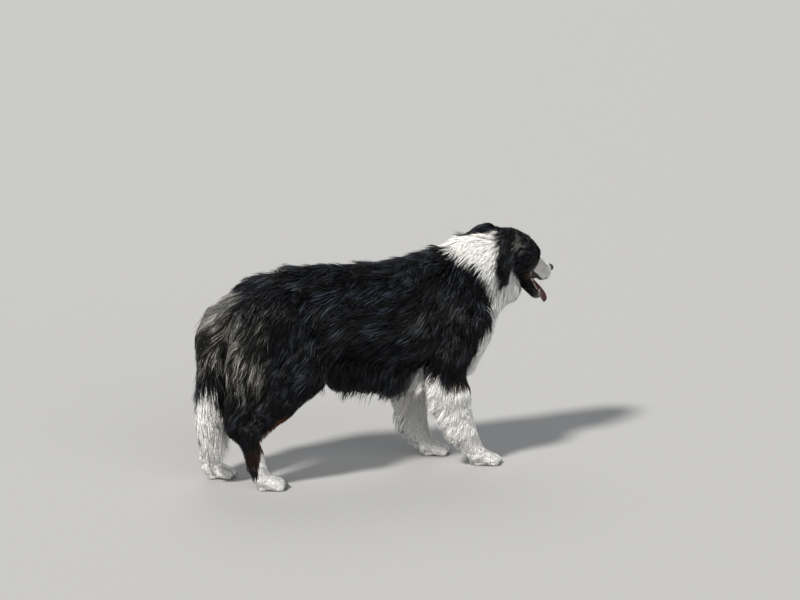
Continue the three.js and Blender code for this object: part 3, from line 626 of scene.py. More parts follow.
def mesh_piece(name, points, faces, values, smooth_shade=True):
    """An object from corners in millimetres, faces of one size, and named values of its corners."""
    points, faces = np.asarray(points, float), np.asarray(faces)
    mesh = bpy.data.meshes.new(name)
    mesh.vertices.add(len(points))
    mesh.vertices.foreach_set("co", metres(points).astype(np.float32).ravel())
    mesh.loops.add(faces.size)
    mesh.loops.foreach_set("vertex_index", faces.astype(np.int32).ravel())
    mesh.polygons.add(len(faces))
    starts = np.arange(0, faces.size, faces.shape[1], dtype=np.int32)
    mesh.polygons.foreach_set("loop_start", starts)
    mesh.polygons.foreach_set("use_smooth", np.full(len(faces), smooth_shade))
    for key, value in values.items():
        layer = mesh.attributes.new(key, "FLOAT", "POINT")
        layer.data.foreach_set("value", np.asarray(value, np.float32))
    mesh.update(calc_edges=True)
    made = bpy.data.objects.new(name, mesh)
    bpy.context.scene.collection.objects.link(made)
    return made


def piece(name, points, faces, finish, slot, replaces=(), **values):
    """A piece of the visual model, and the CAD nodes that it stands for."""
    made = mesh_piece(name, points, faces, values)
    made.data.materials.append(finish)
    if replaces:
        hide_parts(*replaces)
    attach(made, "root")
    return made


# ------------------------------------------------------------------ materials


class Wire:
    """A node's output. Python's operators on it add Math nodes."""

    def __init__(self, finish, socket):
        self.finish, self.socket = finish, socket

    def maths(self, operation, a, b):
        return self.finish.node("Math", {"operation": operation}, {0: a, 1: b})

    def __add__(self, other):
        return self.maths("ADD", self, other)

    def __sub__(self, other):
        return self.maths("SUBTRACT", self, other)

    def __mul__(self, other):
        return self.maths("MULTIPLY", self, other)

    def __rsub__(self, other):
        return self.maths("SUBTRACT", other, self)

    __radd__ = __add__
    __rmul__ = __mul__

    def step(self, low, high):
        """0 below low, 1 above high, softly between."""
        settings = {"interpolation_type": "SMOOTHSTEP"}
        sockets = {"Value": self, "From Min": low, "From Max": high}
        return self.finish.node("MapRange", settings, sockets)


class Finish:
    """A material built from nodes."""

    def __init__(self, name):
        self.material = bpy.data.materials.new(name)
        self.material.use_nodes = True
        self.nodes = self.material.node_tree.nodes
        self.links = self.material.node_tree.links
        self.nodes.clear()

    def node(self, kind, settings=None, inputs=None, out=0):
        """Adds a node: its settings first, then its sockets. Returns an output, if it has any."""
        made = self.nodes.new("ShaderNode" + kind)
        for key, value in (settings or {}).items():
            setattr(made, key, value)
        for key, value in (inputs or {}).items():
            if isinstance(value, Wire):
                self.links.new(value.socket, made.inputs[key])
            else:
                made.inputs[key].default_value = value
        return Wire(self, made.outputs[out]) if made.outputs else None

    def blend(self, a, b, factor, kind="MIX"):
        """Mixes two colours."""
        settings = {"data_type": "RGBA", "blend_type": kind}
        return self.node("Mix", settings, {0: factor, 6: a, 7: b}, out=2)

    def value(self, name):
        return self.node("Attribute", {"attribute_name": name}, out=2)

    def place(self):
        return self.node("TexCoord", out=3)

    def noise(self, scale, detail, roughness=0.55):
        sockets = {"Vector": self.place(), "Scale": scale, "Detail": detail, "Roughness": roughness}
        return self.node("TexNoise", inputs=sockets)

    def bump(self, height, strength, distance):
        sockets = {"Height": height, "Strength": strength, "Distance": distance}
        return self.node("Bump", inputs=sockets)

    def shade(self, sockets):
        """Ends the material in one shader, and returns it."""
        shader = self.node("BsdfPrincipled", inputs=sockets)
        self.node("OutputMaterial", inputs={"Surface": shader})
        return self.material


def rgb(r, g, b):
    return (r, g, b, 1)


BLACK = rgb(0.0020, 0.0020, 0.0026)
# painted sheen: a blue-grey highlight colour laid on the black hair's bright strands
PAINTED_SHEEN = rgb(0.07, 0.088, 0.122)
WHITE = rgb(0.93, 0.92, 0.89)
CREAM = rgb(0.82, 0.75, 0.63)
TAN = rgb(0.16, 0.066, 0.024)
SILVER = rgb(0.46, 0.44, 0.39)


def coat_colour(f, tone, along):
    """The hair's colour from its markings, its own tone and the place along it, with a painted
    sheen on the black.
    """
    white, tan, silver = f.value("white"), f.value("tan"), f.value("silver")
    # painted sheen: black hair turns toward the highlight colour on its brighter-toned strands,
    # most toward the tips
    black = f.blend(BLACK, PAINTED_SHEEN, (tone.step(0.58, 0.95) * along.step(0.2, 0.8)) * 0.65)
    # silvered hair: faded, and on the breeches also painted sunlit sheen
    faded_and_sunlit = f.blend(black, SILVER,
                    silver * (tone.step(0.48, 0.72) * 0.96 + 0.04) * (along * 0.5 + 0.5))
    warm = f.blend(faded_and_sunlit, TAN, tan)
    pale = f.blend(WHITE, CREAM, tone.step(0.35, 0.0) * 0.5 + (1 - along) * 0.12)
    return f.blend(warm, pale, white), white


def coat_finish(name, gloss, roughness, softness):
    """Hair of one colour, with painted shade that darkens each lock toward its root, less on pale
    hair. Pale hair is softer, because light passes through it to the next hair.
    """
    f = Finish(name)
    tone, along = f.value("tone"), f.value("along")
    colour, white = coat_colour(f, tone, along)
    streak = f.noise(900, 2)
    # painted shade: each lock is darker toward its root, where the coat shades it, times its own
    # random tone and streaks
    root_shade_and_tone = (0.5 + along * 0.5) * (0.72 + tone * 0.42) * (0.8 + streak * 0.4)
    # pale hair keeps little of the painted root shade
    shade = root_shade_and_tone + (1 - root_shade_and_tone) * white * 0.93
    grey = f.node("CombineColor", inputs={0: shade, 1: shade, 2: shade})
    return f.shade({
        "Base Color": f.blend(colour, grey, 1.0, "MULTIPLY"),
        "Roughness": roughness + streak * 0.1,
        "Specular IOR Level": gloss,
        "Subsurface Weight": softness,
        "Subsurface Radius": (1, 0.95, 0.9),
        "Subsurface Scale": 0.004,
        "Normal": f.bump(streak, 0.2, 0.0006),
    })


def skin_finish():
    f = Finish("skin")
    leather, mouth = f.value("leather"), f.value("mouth")
    down = f.noise(420, 4)
    colour, white = coat_colour(f, down, f.noise(160, 2))
    lifted = f.blend(colour, rgb(0.0, 0.0, 0.0), 0.25 - white * 0.23)
    rim = f.blend(rgb(0.006, 0.005, 0.005), rgb(0.018, 0.014, 0.014), f.noise(300, 3))
    gum = f.blend(rgb(0.055, 0.015, 0.015), rgb(0.02, 0.008, 0.009), f.noise(90, 3))
    bare = f.blend(f.blend(lifted, rim, leather), gum, mouth)
    return f.shade({
        "Base Color": bare,
        "Roughness": 0.75 - leather * 0.25 - mouth * 0.4,
        "Normal": f.bump(down, 0.5, 0.0008),
    })


def eye_finish():
    f = Finish("eye")
    ring = f.value("ring")
    rays = f.noise(700, 4, 0.65)
    brown = f.blend(rgb(0.03, 0.012, 0.005), rgb(0.1, 0.042, 0.014), rays)
    iris = f.blend(brown, rgb(0.012, 0.006, 0.004), ring.step(0.50, 0.64))
    seen = f.blend(rgb(0.002, 0.002, 0.002), iris, ring.step(0.29, 0.33))
    ball = f.blend(seen, rgb(0.2, 0.15, 0.13), ring.step(0.75, 0.95))
    return f.shade({"Base Color": ball, "Roughness": 0.22 + rays * 0.1, "Coat Weight": 0.35,
                    "Coat Roughness": 0.03, "Specular IOR Level": 0.2})


def nose_finish():
    f = Finish("nose")
    pebbles = f.node("TexVoronoi", {"feature": "DISTANCE_TO_EDGE"},
                     {"Vector": f.place(), "Scale": 620.0})
    grain = f.noise(1500, 3)
    # painted shade: darker in the grooves between the pebbles, lighter on their tops
    colour = f.blend(rgb(0.007, 0.0065, 0.007), rgb(0.028, 0.025, 0.026),
                     pebbles.step(0.0, 0.25) * grain)
    return f.shade({"Base Color": colour, "Roughness": 0.42 + grain * 0.18, "Coat Weight": 0.15,
                    "Coat Roughness": 0.25,
                    "Normal": f.bump(pebbles.step(0.0, 0.22) + grain * 0.3, 0.7, 0.0007)})


def tongue_finish():
    f = Finish("tongue")
    buds = f.node("TexVoronoi", {}, {"Vector": f.place(), "Scale": 900.0})
    blotch = f.noise(70, 4)
    flesh_colour = f.blend(rgb(0.11, 0.022, 0.022), rgb(0.07, 0.014, 0.016), blotch)
    # painted shade: darker along the groove down the tongue's top
    colour = f.blend(flesh_colour, rgb(0.06, 0.012, 0.014), f.value("groove") * 0.6)
    return f.shade({"Base Color": colour, "Roughness": 0.3 + buds * 0.2, "Coat Weight": 0.4,
                    "Coat Roughness": 0.15, "Normal": f.bump(1 - buds, 0.5, 0.0006)})


def tooth_finish():
    f = Finish("tooth")
    root = f.value("along")
    colour = f.blend(rgb(0.36, 0.25, 0.14), rgb(0.58, 0.52, 0.41), root.step(0.0, 0.6))
    stain = f.noise(260, 3)
    return f.shade({"Base Color": f.blend(colour, rgb(0.5, 0.36, 0.2), stain * 0.25),
                    "Roughness": 0.22 + stain * 0.12, "Coat Weight": 0.4, "Coat Roughness": 0.1})


def claw_finish():
    f = Finish("claw")
    along = f.value("along")
    lines = f.noise(1200, 2)
    colour = f.blend(rgb(0.06, 0.045, 0.035), rgb(0.22, 0.17, 0.125), along * 0.5 + lines * 0.3)
    return f.shade({"Base Color": colour, "Roughness": 0.32 + lines * 0.25,
                    "Normal": f.bump(lines, 0.3, 0.0004)})


def floor_finish():
    f = Finish("floor")
    speck = f.noise(60, 5, 0.6)
    colour = f.blend(rgb(0.3, 0.297, 0.292), rgb(0.323, 0.32, 0.314), speck)
    return f.shade({"Base Color": colour, "Roughness": 0.75 + speck * 0.1})


# ------------------------------------------------------------------ skin


def bare_places(p, normal):
    """How far each point is black leather (lids, lips, pads), and how far the mouth's inside."""
    f, l, u = head_axes(p)
    facing_down, facing_jaw = -(normal @ ABOVE), normal @ JAW_ABOVE
    lips = smooth(f, 52, 60) * smooth(np.abs(l), 34, 28)
    jf, ju = dot(p - HINGE, JAW_FORWARD), dot(p - HINGE, JAW_ABOVE)
    palate = lips * smooth(u, -30, -34) * smooth(ju, 14, 18)
    tongue_bed = smooth(jf, 16, 26) * smooth(np.abs(l), 27, 22) * smooth(np.abs(ju), 24, 16)
    mouth = np.maximum(palate * smooth(facing_down, 0.7, 0.93),
                       tongue_bed * smooth(facing_jaw, 0.75, 0.95))
    leather = np.maximum(palate * smooth(facing_down, 0.35, 0.6),
                         tongue_bed * smooth(facing_jaw, 0.35, 0.6))
    for s in SIDES:
        d = p - EYES[s]
        away = np.linalg.norm(d, axis=1)
        angle = np.arccos(np.clip(dot(d, GAZE[s]) / np.maximum(away, 1e-6), -1, 1))
        leather = np.maximum(leather, smooth(away, 13.6, 12.6) * smooth(angle, 1.0, 0.85))
    from_nose = np.stack([f, l, u], 1) - vec(*NOSE_PLACE)
    seat = np.linalg.norm(from_nose / (vec(*NOSE_RADII) + 2.5), axis=1)
    leather = np.maximum(leather, smooth(seat, 1.1, 1.0))
    leather = np.maximum(leather, smooth(p[:, 2], 5, 3) * smooth(-normal[:, 2], 0.6, 0.85))
    return leather, mouth


def ear_share(p):
    """How far each point belongs to an ear."""
    share = np.zeros(len(p))
    for b in BONES:
        if b.hair == "ear" and b.only == "skin":
            near = b.near(p, 80)
            share[near] = np.maximum(share[near], smooth(b.distance(p[near], False), 6, 1))
    return share


SKIN_REACH = 0.6  # mm to each side for the skin's slope
FLESH_NODES = [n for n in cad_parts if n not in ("eye_left", "eye_right", "nose", "tongue")]


def skin_mesh():
    grid = Grid(planes(-400, (175, 6.0), (372, 4.6), (612, 2.05)),
                planes(-128, (-24, 4.6), (118, 2.3), (132, 4.6)),
                planes(-14, (54, 3.4), (420, 5.4), (434, 3.2), (614, 2.05)), coat=False)
    points, faces = surface(grid)
    for _ in range(2):
        off = np.clip(flesh(points), -1.5, 1.5)[:, None]
        points = points - slope(flesh, points, SKIN_REACH) * off
    points[:, 2] = np.maximum(points[:, 2], 0)
    return points, faces


def skin():
    points, faces = skin_mesh()
    normal = slope(flesh, points, SKIN_REACH)
    leather, mouth = bare_places(points, normal)
    white, tan, silver = markings(points, ear_share(points))
    piece("skin", points, faces, skin_finish(), "coat_black", FLESH_NODES,
          white=white, tan=tan, silver=silver, leather=leather, mouth=mouth)
    return points, faces, leather, mouth


# ------------------------------------------------------------------ eyes, nose, mouth, claws


def rings_mesh(rings):
    """A closed skin over rings of points, with a corner at each end, turned outwards."""
    rings = np.asarray(rings, float)
    count, around = rings.shape[:2]
    points = np.concatenate([rings.reshape(-1, 3), [rings[0].mean(0), rings[-1].mean(0)]])
    faces = []
    for n in range(around):
        m = (n + 1) % around
        for a in range(0, (count - 1) * around, around):
            b = a + around
            faces += [(a + n, a + m, b + m), (a + n, b + m, b + n)]
        faces += [(count * around, m, n), (count * around + 1, b + n, b + m)]
    faces = np.array(faces)
    a, b, c = (points[faces[:, i]] - points.mean(0) for i in range(3))
    return points, faces if dot(a, np.cross(b, c)).sum() > 0 else faces[:, ::-1]


EYE_ROWS, EYE_AROUND = 44, 48
EYE_SLACK = 0.45  # how far the ball lies inside its measure
CORNEA, CORNEA_SPREAD = 0.55, 0.42  # how far it stands out, and its angle
END_ANGLE = 0.02  # where the first ring stands, so that it isn't a point


def eyeball(s, finish):
    across = unit(np.cross(ABOVE, GAZE[s]))
    upward = np.cross(GAZE[s], across)
    turns = np.linspace(0, 2 * math.pi, EYE_AROUND, endpoint=False)[:, None]
    sweep = across * np.cos(turns) + upward * np.sin(turns)
    rings, ring = [], []
    for angle in np.linspace(END_ANGLE, math.pi - END_ANGLE, EYE_ROWS):
        bulge = CORNEA * math.exp(-((angle / CORNEA_SPREAD) ** 2))
        radius = EYE_RADIUS - EYE_SLACK + bulge
        centre = EYES[s] + GAZE[s] * (radius * math.cos(angle))
        rings.append(centre + sweep * radius * math.sin(angle))
        ring += [angle] * EYE_AROUND
    points, faces = rings_mesh(rings)
    side = "left" if s > 0 else "right"
    piece("eyeball_" + side, points, faces, finish, "eye", ["eye_" + side],
          ring=ring + [0, math.pi])


NOSE_ROOM, NOSE_CELL = 19, 0.85  # half the box round the nose, and the size of its cells


def nose_leather():
    """The nose: a rounded pad with two nostrils, their side slits and the groove down its front."""
    parts = []

    def part(a, ra, b, rb, blend, up=ABOVE, cut=False):
        a, b = (in_head(NOSE_PLACE[0] + f, l, NOSE_PLACE[2] + u) for f, l, u in (a, b))
        parts.append(Bone(a, ra, b, rb, up, blend, "face", "head", cut=cut))

    part((-4, -4.5, 1), (9, 9.5), (-4, 4.5, 1), (9, 9.5), 3)
    part((1, -4, 2), (7, 8.2), (1, 4, 2), (7, 8.2), 3)
    part((-1, 0, -3), (7.4, 7.5), (0, 0, -3.4), (7, 7.5), 3)
    for s in SIDES:
        part((4, s * 5.4, 0.6), (2.6, 2.3), (12, s * 5.2, 1.2), (3.4, 2.8), 1.5, cut=True)
        part((6, s * 7, -0.5), (1.2, 1.2), (3, s * 15, -4.5), (1.2, 1.0), 1, cut=True)
    part((9.2, 0, -1), (0.7, 0.8), (7.4, 0, -12), (0.7, 0.9), 0.8, up=FORWARD, cut=True)
    axes = [np.arange(c - NOSE_ROOM, c + NOSE_ROOM, NOSE_CELL) for c in in_head(*NOSE_PLACE)]
    points, faces = surface(Grid(*axes, coat=False, bones=parts))
    piece("nose_leather", points, faces, nose_finish(), "nose", ["nose"])


TONGUE_LINE = [(38, 13), (72, 15), (104, 16), (127, 13), (145, 5)]  # forward and up in the jaw
TONGUE_WIDTHS = (8, 12.4, 14, 14.6, 14.2, 12.4, 7.2)  # half of each
TONGUE_THICK, TONGUE_DIP = 3.4, 1.5
TONGUE_ROWS, TONGUE_AROUND = 26, 28
TONGUE_TIP = 0.86  # where the rounded end starts


def tongue():
    """A tongue that lies in the jaw and falls over its tip, with a groove along its top."""
    knots = np.linspace(0, 1, len(TONGUE_LINE))
    fit = [np.polyfit(knots, [p[i] for p in TONGUE_LINE], 4) for i in (0, 1)]
    rings, groove = [], []
    for t in np.linspace(0, 1, TONGUE_ROWS):
        here = [np.polyval(c, t) for c in fit]
        run = unit(vec(*(np.polyval(np.polyder(c), t) for c in fit)))
        centre = in_jaw(here[0], 0, here[1] - 0.4)
        thick = JAW_ABOVE * run[0] - JAW_FORWARD * run[1]
        half = np.interp(t, np.linspace(0, 1, len(TONGUE_WIDTHS)), TONGUE_WIDTHS)
        past = max(t - TONGUE_TIP, 0) / (1 - TONGUE_TIP)
        end = math.sqrt(max(1 - past**2, 0.02))
        depth = TONGUE_THICK * (0.55 + 0.45 * end)
        row = []
        for angle in np.arange(TONGUE_AROUND) * 2 * math.pi / TONGUE_AROUND:
            c, s = math.cos(angle), math.sin(angle)
            dip = TONGUE_DIP * math.exp(-((c / 0.22) ** 2)) if s > 0 else 0
            row.append(centre + LEFT * (half * end * c) + thick * (depth * s - dip + 0.9 * c * c))
            groove.append(math.exp(-((c / 0.2) ** 2)) if s > 0 else 0)
        rings.append(row)
    points, faces = rings_mesh(rings)
    piece("tongue_flesh", points, faces, tongue_finish(), "tongue", ["tongue"],
          groove=groove + [0, 0])


HORN_AROUND, HORN_ROWS = 10, 7
INCISORS, CHEEK_TEETH = 3, 6  # on each side of each jaw


def horn(root, direction, length, radius, bend, flat=1.0):
    """A tapered, bent cone: its mesh, and the share of its length at each corner."""
    direction = unit(direction)
    side = unit(np.cross(direction, bend))
    turns = np.linspace(0, 2 * math.pi, HORN_AROUND, endpoint=False)[:, None]
    rings, along = [], []
    for t in np.arange(HORN_ROWS) / (HORN_ROWS - 1):
        centre = root + direction * length * t + bend * (t * t)
        size = radius * (1 - t) ** 0.65 + 0.12
        other = np.cross(unit(direction * length + bend * 2 * t), side)
        rings.append(centre + side * np.cos(turns) * size * flat + other * np.sin(turns) * size)
        along += [t] * HORN_AROUND
    return *rings_mesh(rings), along + [0, 1]


def joined(name, solids, finish, slot):
    """One piece from several small solids."""
    points, faces, along, start = [], [], [], 0
    for p, f, a in solids:
        points.append(p)
        faces.append(f + start)
        along += a
        start += len(p)
    piece(name, np.concatenate(points), np.concatenate(faces), finish, slot, along=along)


def teeth():
    """Canines, incisors and cheek teeth of both jaws."""
    upper, lower = [], []
    for s in SIDES:
        root = in_head(123, s * 14, -34)
        upper.append(horn(root, -ABOVE + LEFT * 0.05 * s, 15, 3.1, FORWARD * -2.4))
        root = in_jaw(98, s * 10, 3)
        lower.append(horn(root, JAW_ABOVE + LEFT * 0.12 * s, 11, 2.6, JAW_FORWARD * -2))
        for i in range(INCISORS):
            across = s * (i + 0.5) * 3.7
            root = in_head(137 - i * 1.6, across, -36)
            upper.append(horn(root, -ABOVE, 7.5, 2.1, FORWARD * -0.4))
            root = in_jaw(110 - i * 1.3, across * 0.8, 3)
            lower.append(horn(root, JAW_ABOVE, 5.5, 1.7, FORWARD * -0.3))
        for i in range(CHEEK_TEETH):
            root = in_head(112 - i * 8.4, s * (16 + i * 1.3), -34)
            upper.append(horn(root, -ABOVE, 6 + i * 0.7, 3.9, FORWARD * -0.5, flat=0.6))
            root = in_jaw(86 - i * 8, s * (11 + i * 1.3), 4)
            lower.append(horn(root, JAW_ABOVE, 4 + i * 0.5, 3.8, FORWARD * -0.5, flat=0.6))
    finish = tooth_finish()
    joined("teeth_upper", upper, finish, "tooth")
    joined("teeth_lower", lower, finish, "tooth")


def claws():
    finish = claw_finish()
    for name, joints in LEGS.items():
        for end in ("fore", "hind"):
            x, y, _ = joints[end + "_paw"]
            solids = []
            for place in TOE_PLACES:
                root = toe_ends(x, y, place)[1] + vec(4.5, 0, 2)
                direction = vec(1, 0.05 * place, -0.12)
                solids.append(horn(root, direction, 12.5, 2.6, vec(0, 0, -5.2), flat=0.72))
            joined(f"claws_{end}_{name}", solids, finish, "claw")


# ------------------------------------------------------------------ coat
COAT_CELL = 7.0
PATCH = 0.003  # size of each lock's patch on the coat's unwrap
CHART_EDGE, CHART_SPAN = 0.004, 0.99  # where each region's unwrap starts, and its size
RISE_POWER = 0.62  # below 1, a lock rises early and then lies along the coat's surface
TIP_PROUD = 2.5  # how far any tip may stand out of the coat, mm
SUNK = 0.04  # of its length: how far some clumps lie under their neighbours
WAVE_LENGTH = 78  # mm
SEEN = 0.85  # the place along a lock that gives it its colour
ROW_BOUNDS, ROWS = (0, 20, 34, 96, 1e9), (2, 3, 4, 5)  # rows in a lock, by its length in mm
FEWEST_LOCKS = 120  # a piece with fewer joins its region's largest
LENGTHS, WIDTHS = (0.75, 1.2), (0.7, 1.25)  # how far a lock may differ from the table's
NEAR_BONE = 100  # mm: hair takes after the limbs this near
BARE = 0.35  # where leather or gum starts to keep the hair away
THINNED = 0.4  # how much sparser the hair is on the legs' inner sides
SHORTEST = 1.35  # of the coat's depth at its root: no lock is shorter
SCATTER = 0.08  # how far each lock's lie strays from its neighbours'
RISE_LIMITS = (0.04, 0.94)  # the least and the most of a lock's run that goes outwards
CLUMP_LOCKS = 13  # locks to a clump
CLUMP_NEAR, CLUMP_FAR = 10, 26  # mm from a clump's middle: held fast, and not at all
CLUMP_WIDTH = 0.22  # of its width at the roots
TONE_SHARED = 0.55  # how much of a lock's tone is its clump's
WIDTH_AT = (0, 0.25, 0.5, 0.75, 1)
WIDTH_SHARE = (0.7, 1, 0.88, 0.55, 0.12)
CHARTS = {
    "trunk": (vec(-300, 0, 415), vec(300, 0, 415)),
    "neck": (vec(225, 0, 430), vec(430, 30, 480)),
    "head": (in_head(-60, 0, -20), in_head(140, 0, -25)),
    "ear_left": (in_head(-60, 50, 18), in_head(-80, 58, -90)),
    "ear_right": (in_head(-60, -50, 18), in_head(-80, -58, -90)),
    "foreleg_left": (vec(215, 70, 300), vec(215, 64, 0)),
    "foreleg_right": (vec(250, -70, 300), vec(300, -60, 0)),
    "hindleg_left": (vec(-260, 64, 400), vec(-340, 62, 0)),
    "hindleg_right": (vec(-215, -68, 400), vec(-255, -70, 0)),
    "tail": (vec(-290, 0, 440), vec(-348, 0, 80)),
}
FAN = {"trunk": 3, "neck": 2, "head": 2, "hindleg_left": 2, "hindleg_right": 2, "tail": 2}
BOTH_SIDES = ("trunk", "neck", "head")  # parted down the middle too, not only along their length


def blend_of_bones(p):
    """Each root's hair figures, lie and region, from the limbs it grows near."""
    table, lie = np.zeros((len(p), HAIR_TABLE.shape[1])), np.zeros((len(p), 3))
    total = np.zeros(len(p))
    best, region = np.full(len(p), -1.0), np.zeros(len(p), int)
    names = list(CHARTS)
    for b in BONES:
        if b.cut:
            continue
        near = b.near(p, NEAR_BONE)
        d = b.distance(p[near], False)
        fall = 5.0 if b.region == "head" or b.hair in ("ear", "foot") else 8.0
        weight = np.exp(-np.clip(d, -10, 90) / fall) * (1.6 if b.only == "coat" else 1.0)
        table[near] += weight[:, None] * HAIR_TABLE[HAIR_KEYS.index(b.hair)]
        lie[near] += weight[:, None] * b.lie
        total[near] += weight
        strongest = near.copy()
        strongest[near] = weight > best[near]
        best[near] = np.maximum(best[near], weight)
        region[strongest] = names.index(b.region)
    return table / total[:, None], unit(lie), region


def sow(points, faces, leather, mouth):
    """Roots spread over the skin, as many to the square centimetre as the table says."""
    corners = np.concatenate([faces[:, [0, 1, 2]], faces[:, [0, 2, 3]]])
    a, b, c = (points[corners[:, i]] for i in range(3))
    cross = np.cross(b - a, c - a)
    area = np.linalg.norm(cross, axis=1) / 2
    centre = (a + b + c) / 3
    thickness = blend_of_bones(centre)[0][:, 2]
    bare = np.maximum(leather, mouth)[corners].max(1)
    inwards = cross[:, 1] / np.maximum(area, 1e-9) / 2 * -np.sign(centre[:, 1])
    inner = smooth(inwards, 0.3, 0.8) * smooth(centre[:, 2], 330, 300)
    steps = np.cumsum(area / 100 * thickness * (1 - THINNED * inner) * (bare < BARE))
    chosen = np.searchsorted(steps, np.arange(rng.uniform(), steps[-1], 1.0))
    r1, r2 = np.sqrt(rng.uniform(size=len(chosen))), rng.uniform(size=len(chosen))
    shares = np.stack([1 - r1, r1 * (1 - r2), r1 * r2], 1)[:, :, None]
    return a[chosen] * shares[:, 0] + b[chosen] * shares[:, 1] + c[chosen] * shares[:, 2]


def grow(root, coat, table, lie, steps):
    """The line of each lock: from its root, along the lie, out to its share of the coat's depth."""
    count = len(root)
    length = table[:, 0] * rng.uniform(*LENGTHS, count)
    hang, wave, clump, stray = table[:, 3:7].T
    depth = np.clip(-coat.at(root), 0.5, None)
    reach = 1.04 + 3 / (depth + 6) - np.minimum(0.4, 14 / depth) * rng.uniform(size=count) ** 1.6
    length = np.maximum(length, depth * SHORTEST)
    lie = combed(root, lie, length) + rng.normal(size=(count, 3)) * SCATTER
    path = np.empty((count, steps + 1, 3))
    path[:, 0] = root
    rise = np.clip(depth * reach / length, *RISE_LIMITS)[:, None]
    fall = unit(lie * 0.45 + vec(0, 0, -1))
    for i in range(steps):
        s = (i + 1) / steps
        out = coat.slope(path[:, i])
        flat = unit(lie - out * dot(lie, out)[:, None] + 1e-6)
        way = flat * np.sqrt(1 - rise**2) + out * rise
        share = (hang * s)[:, None]
        way = unit(way * (1 - share) + fall * share)
        there = path[:, i] + way * (length / steps)[:, None]
        error = coat.at(there) + depth * (1 - reach * s**RISE_POWER)
        path[:, i + 1] = there - out * (error * 0.95)[:, None]
    return gathered(path, root, coat, length, wave, clump, stray)


def combed(root, lie, length):
    """The lie with the coat's loose swirls in it: the longer the hair, the wider they turn."""
    across = unit(np.cross(lie, vec(0.2, 1, 0.35)))
    third = np.cross(lie, across)
    loose = np.minimum(length / 70, 1)
    turn = (ripple(root, 150, 21) * 0.26 + ripple(root, 66, 22) * 0.16) * loose
    other = (ripple(root, 130, 23) * 0.2 + ripple(root, 60, 24) * 0.12) * loose
    return unit(lie + across * turn[:, None] + third * other[:, None])


def gathered(path, root, coat, length, wave, clump, stray):
    """Neighbouring locks drawn into clumps that wave as one: their lines, and the clump of each."""
    count, rows = path.shape[:2]
    guides = rng.permutation(count)[:max(count // CLUMP_LOCKS, 1)]
    tree = kdtree.KDTree(len(guides))
    for i, g in enumerate(guides):
        tree.insert(Vector(root[g]), i)
    tree.balance()
    found = [tree.find(Vector(p)) for p in root]
    own = np.array([i for _, i, _ in found])
    near = np.array([d for _, _, d in found])
    guide = guides[own]
    s = np.linspace(0, 1, rows)[None, :, None]
    hold = (clump * smooth(near, CLUMP_FAR, CLUMP_NEAR))[:, None, None] * s**1.4
    apart = (root - root[guide])[:, None] * CLUMP_WIDTH
    path = mix(path, path[guide] + apart, hold)
    phase = rng.uniform(0, 2 * math.pi, len(guides))[own][:, None]
    size = (wave * rng.uniform(0.6, 1.2, len(guides))[own])[:, None]
    turn = s[..., 0] * (length / WAVE_LENGTH)[:, None] * 2 * math.pi + phase
    run = unit(path[:, -1] - path[:, 0])
    out = coat.slope(path[:, rows // 2])
    across = unit(np.cross(run, out) + 1e-6)
    swing = size * s[..., 0]
    path = path + across[:, None] * (swing * np.sin(turn))[..., None]
    sunk = (rng.uniform(0, SUNK, len(guides))[own] * length)[:, None] * s[..., 0]
    tuft = (stray * 1.3 * rng.uniform(size=len(guides))[own] ** 5)[:, None] * s[..., 0] ** 2
    path = path + out[:, None] * (swing * 0.35 * np.cos(turn) - sunk + tuft)[..., None]
    proud = TIP_PROUD + stray * rng.uniform(size=count) ** 3 + tuft[:, -1]
    for i in range(1, rows):
        beyond = np.maximum(coat.at(path[:, i]) - proud * i / (rows - 1), 0)
        path[:, i] -= coat.slope(path[:, i]) * beyond[:, None]
        path[:, i, 2] = np.maximum(path[:, i, 2], 0.6)
    return path, own


def lock_template(rows):
    """Triangles of one lock and where their corners lie in its patch."""
    faces, spots = [], []
    for r in range(rows - 1):
        low, high = r / rows, (r + 1) / rows
        for n in range(3):
            m = (n + 1) % 3
            a, b = r * 3, (r + 1) * 3
            un, um = n / 2, m / 2
            faces += [(a + n, a + m, b + m), (a + n, b + m, b + n)]
            spots += [((un, low), (um, low), (um, high)), ((un, low), (um, high), (un, high))]
    last, tip, low = (rows - 1) * 3, rows * 3, (rows - 1) / rows
    for n in range(3):
        m = (n + 1) % 3
        faces.append((last + n, last + m, tip))
        spots.append(((n / 2, low), (m / 2, low), (0.5, 1)))
    faces.append((2, 1, 0))
    spots.append(((1, 0), (0.5, 0.3), (0, 0)))
    return np.array(faces), np.array(spots, float)


def lock_corners(path, half, coat):
    """Corners of every lock: rows of three round its line, the tip last."""
    rows = path.shape[1] - 1
    roll = rng.uniform(-0.6, 0.6, len(path))[:, None]
    corners = np.empty((len(path), rows * 3 + 1, 3))
    for r in range(rows):
        run = unit(path[:, r + 1] - path[:, max(r - 1, 0)])
        out = coat.slope(path[:, r])
        across = unit(np.cross(run, out) + 1e-6)
        up = np.cross(across, run)
        c, s = np.cos(roll), np.sin(roll)
        across, up = across * c + up * s, up * c - across * s
        wide = (half * np.interp(r / rows, WIDTH_AT, WIDTH_SHARE))[:, None]
        corners[:, r * 3] = path[:, r] - across * wide
        corners[:, r * 3 + 1] = path[:, r] + across * wide
        corners[:, r * 3 + 2] = path[:, r] + up * wide * 0.8
    corners[:, -1] = path[:, -1]
    return corners


def patches(root, region):
    """The lower corner of each lock's patch on the unwrap of its region."""
    start, end = CHARTS[region]
    axis = unit(end - start)
    side = unit(np.cross(axis, vec(0.31, 0.9, 0.3)))
    top = np.cross(axis, side)
    d = root - start
    along = d @ axis
    along = (along - along.min()) / max(np.ptp(along), 1e-6)
    angle = np.arctan2(d @ side, d @ top) / (2 * math.pi) + 0.5
    return CHART_EDGE + np.stack([angle, along], 1) * CHART_SPAN


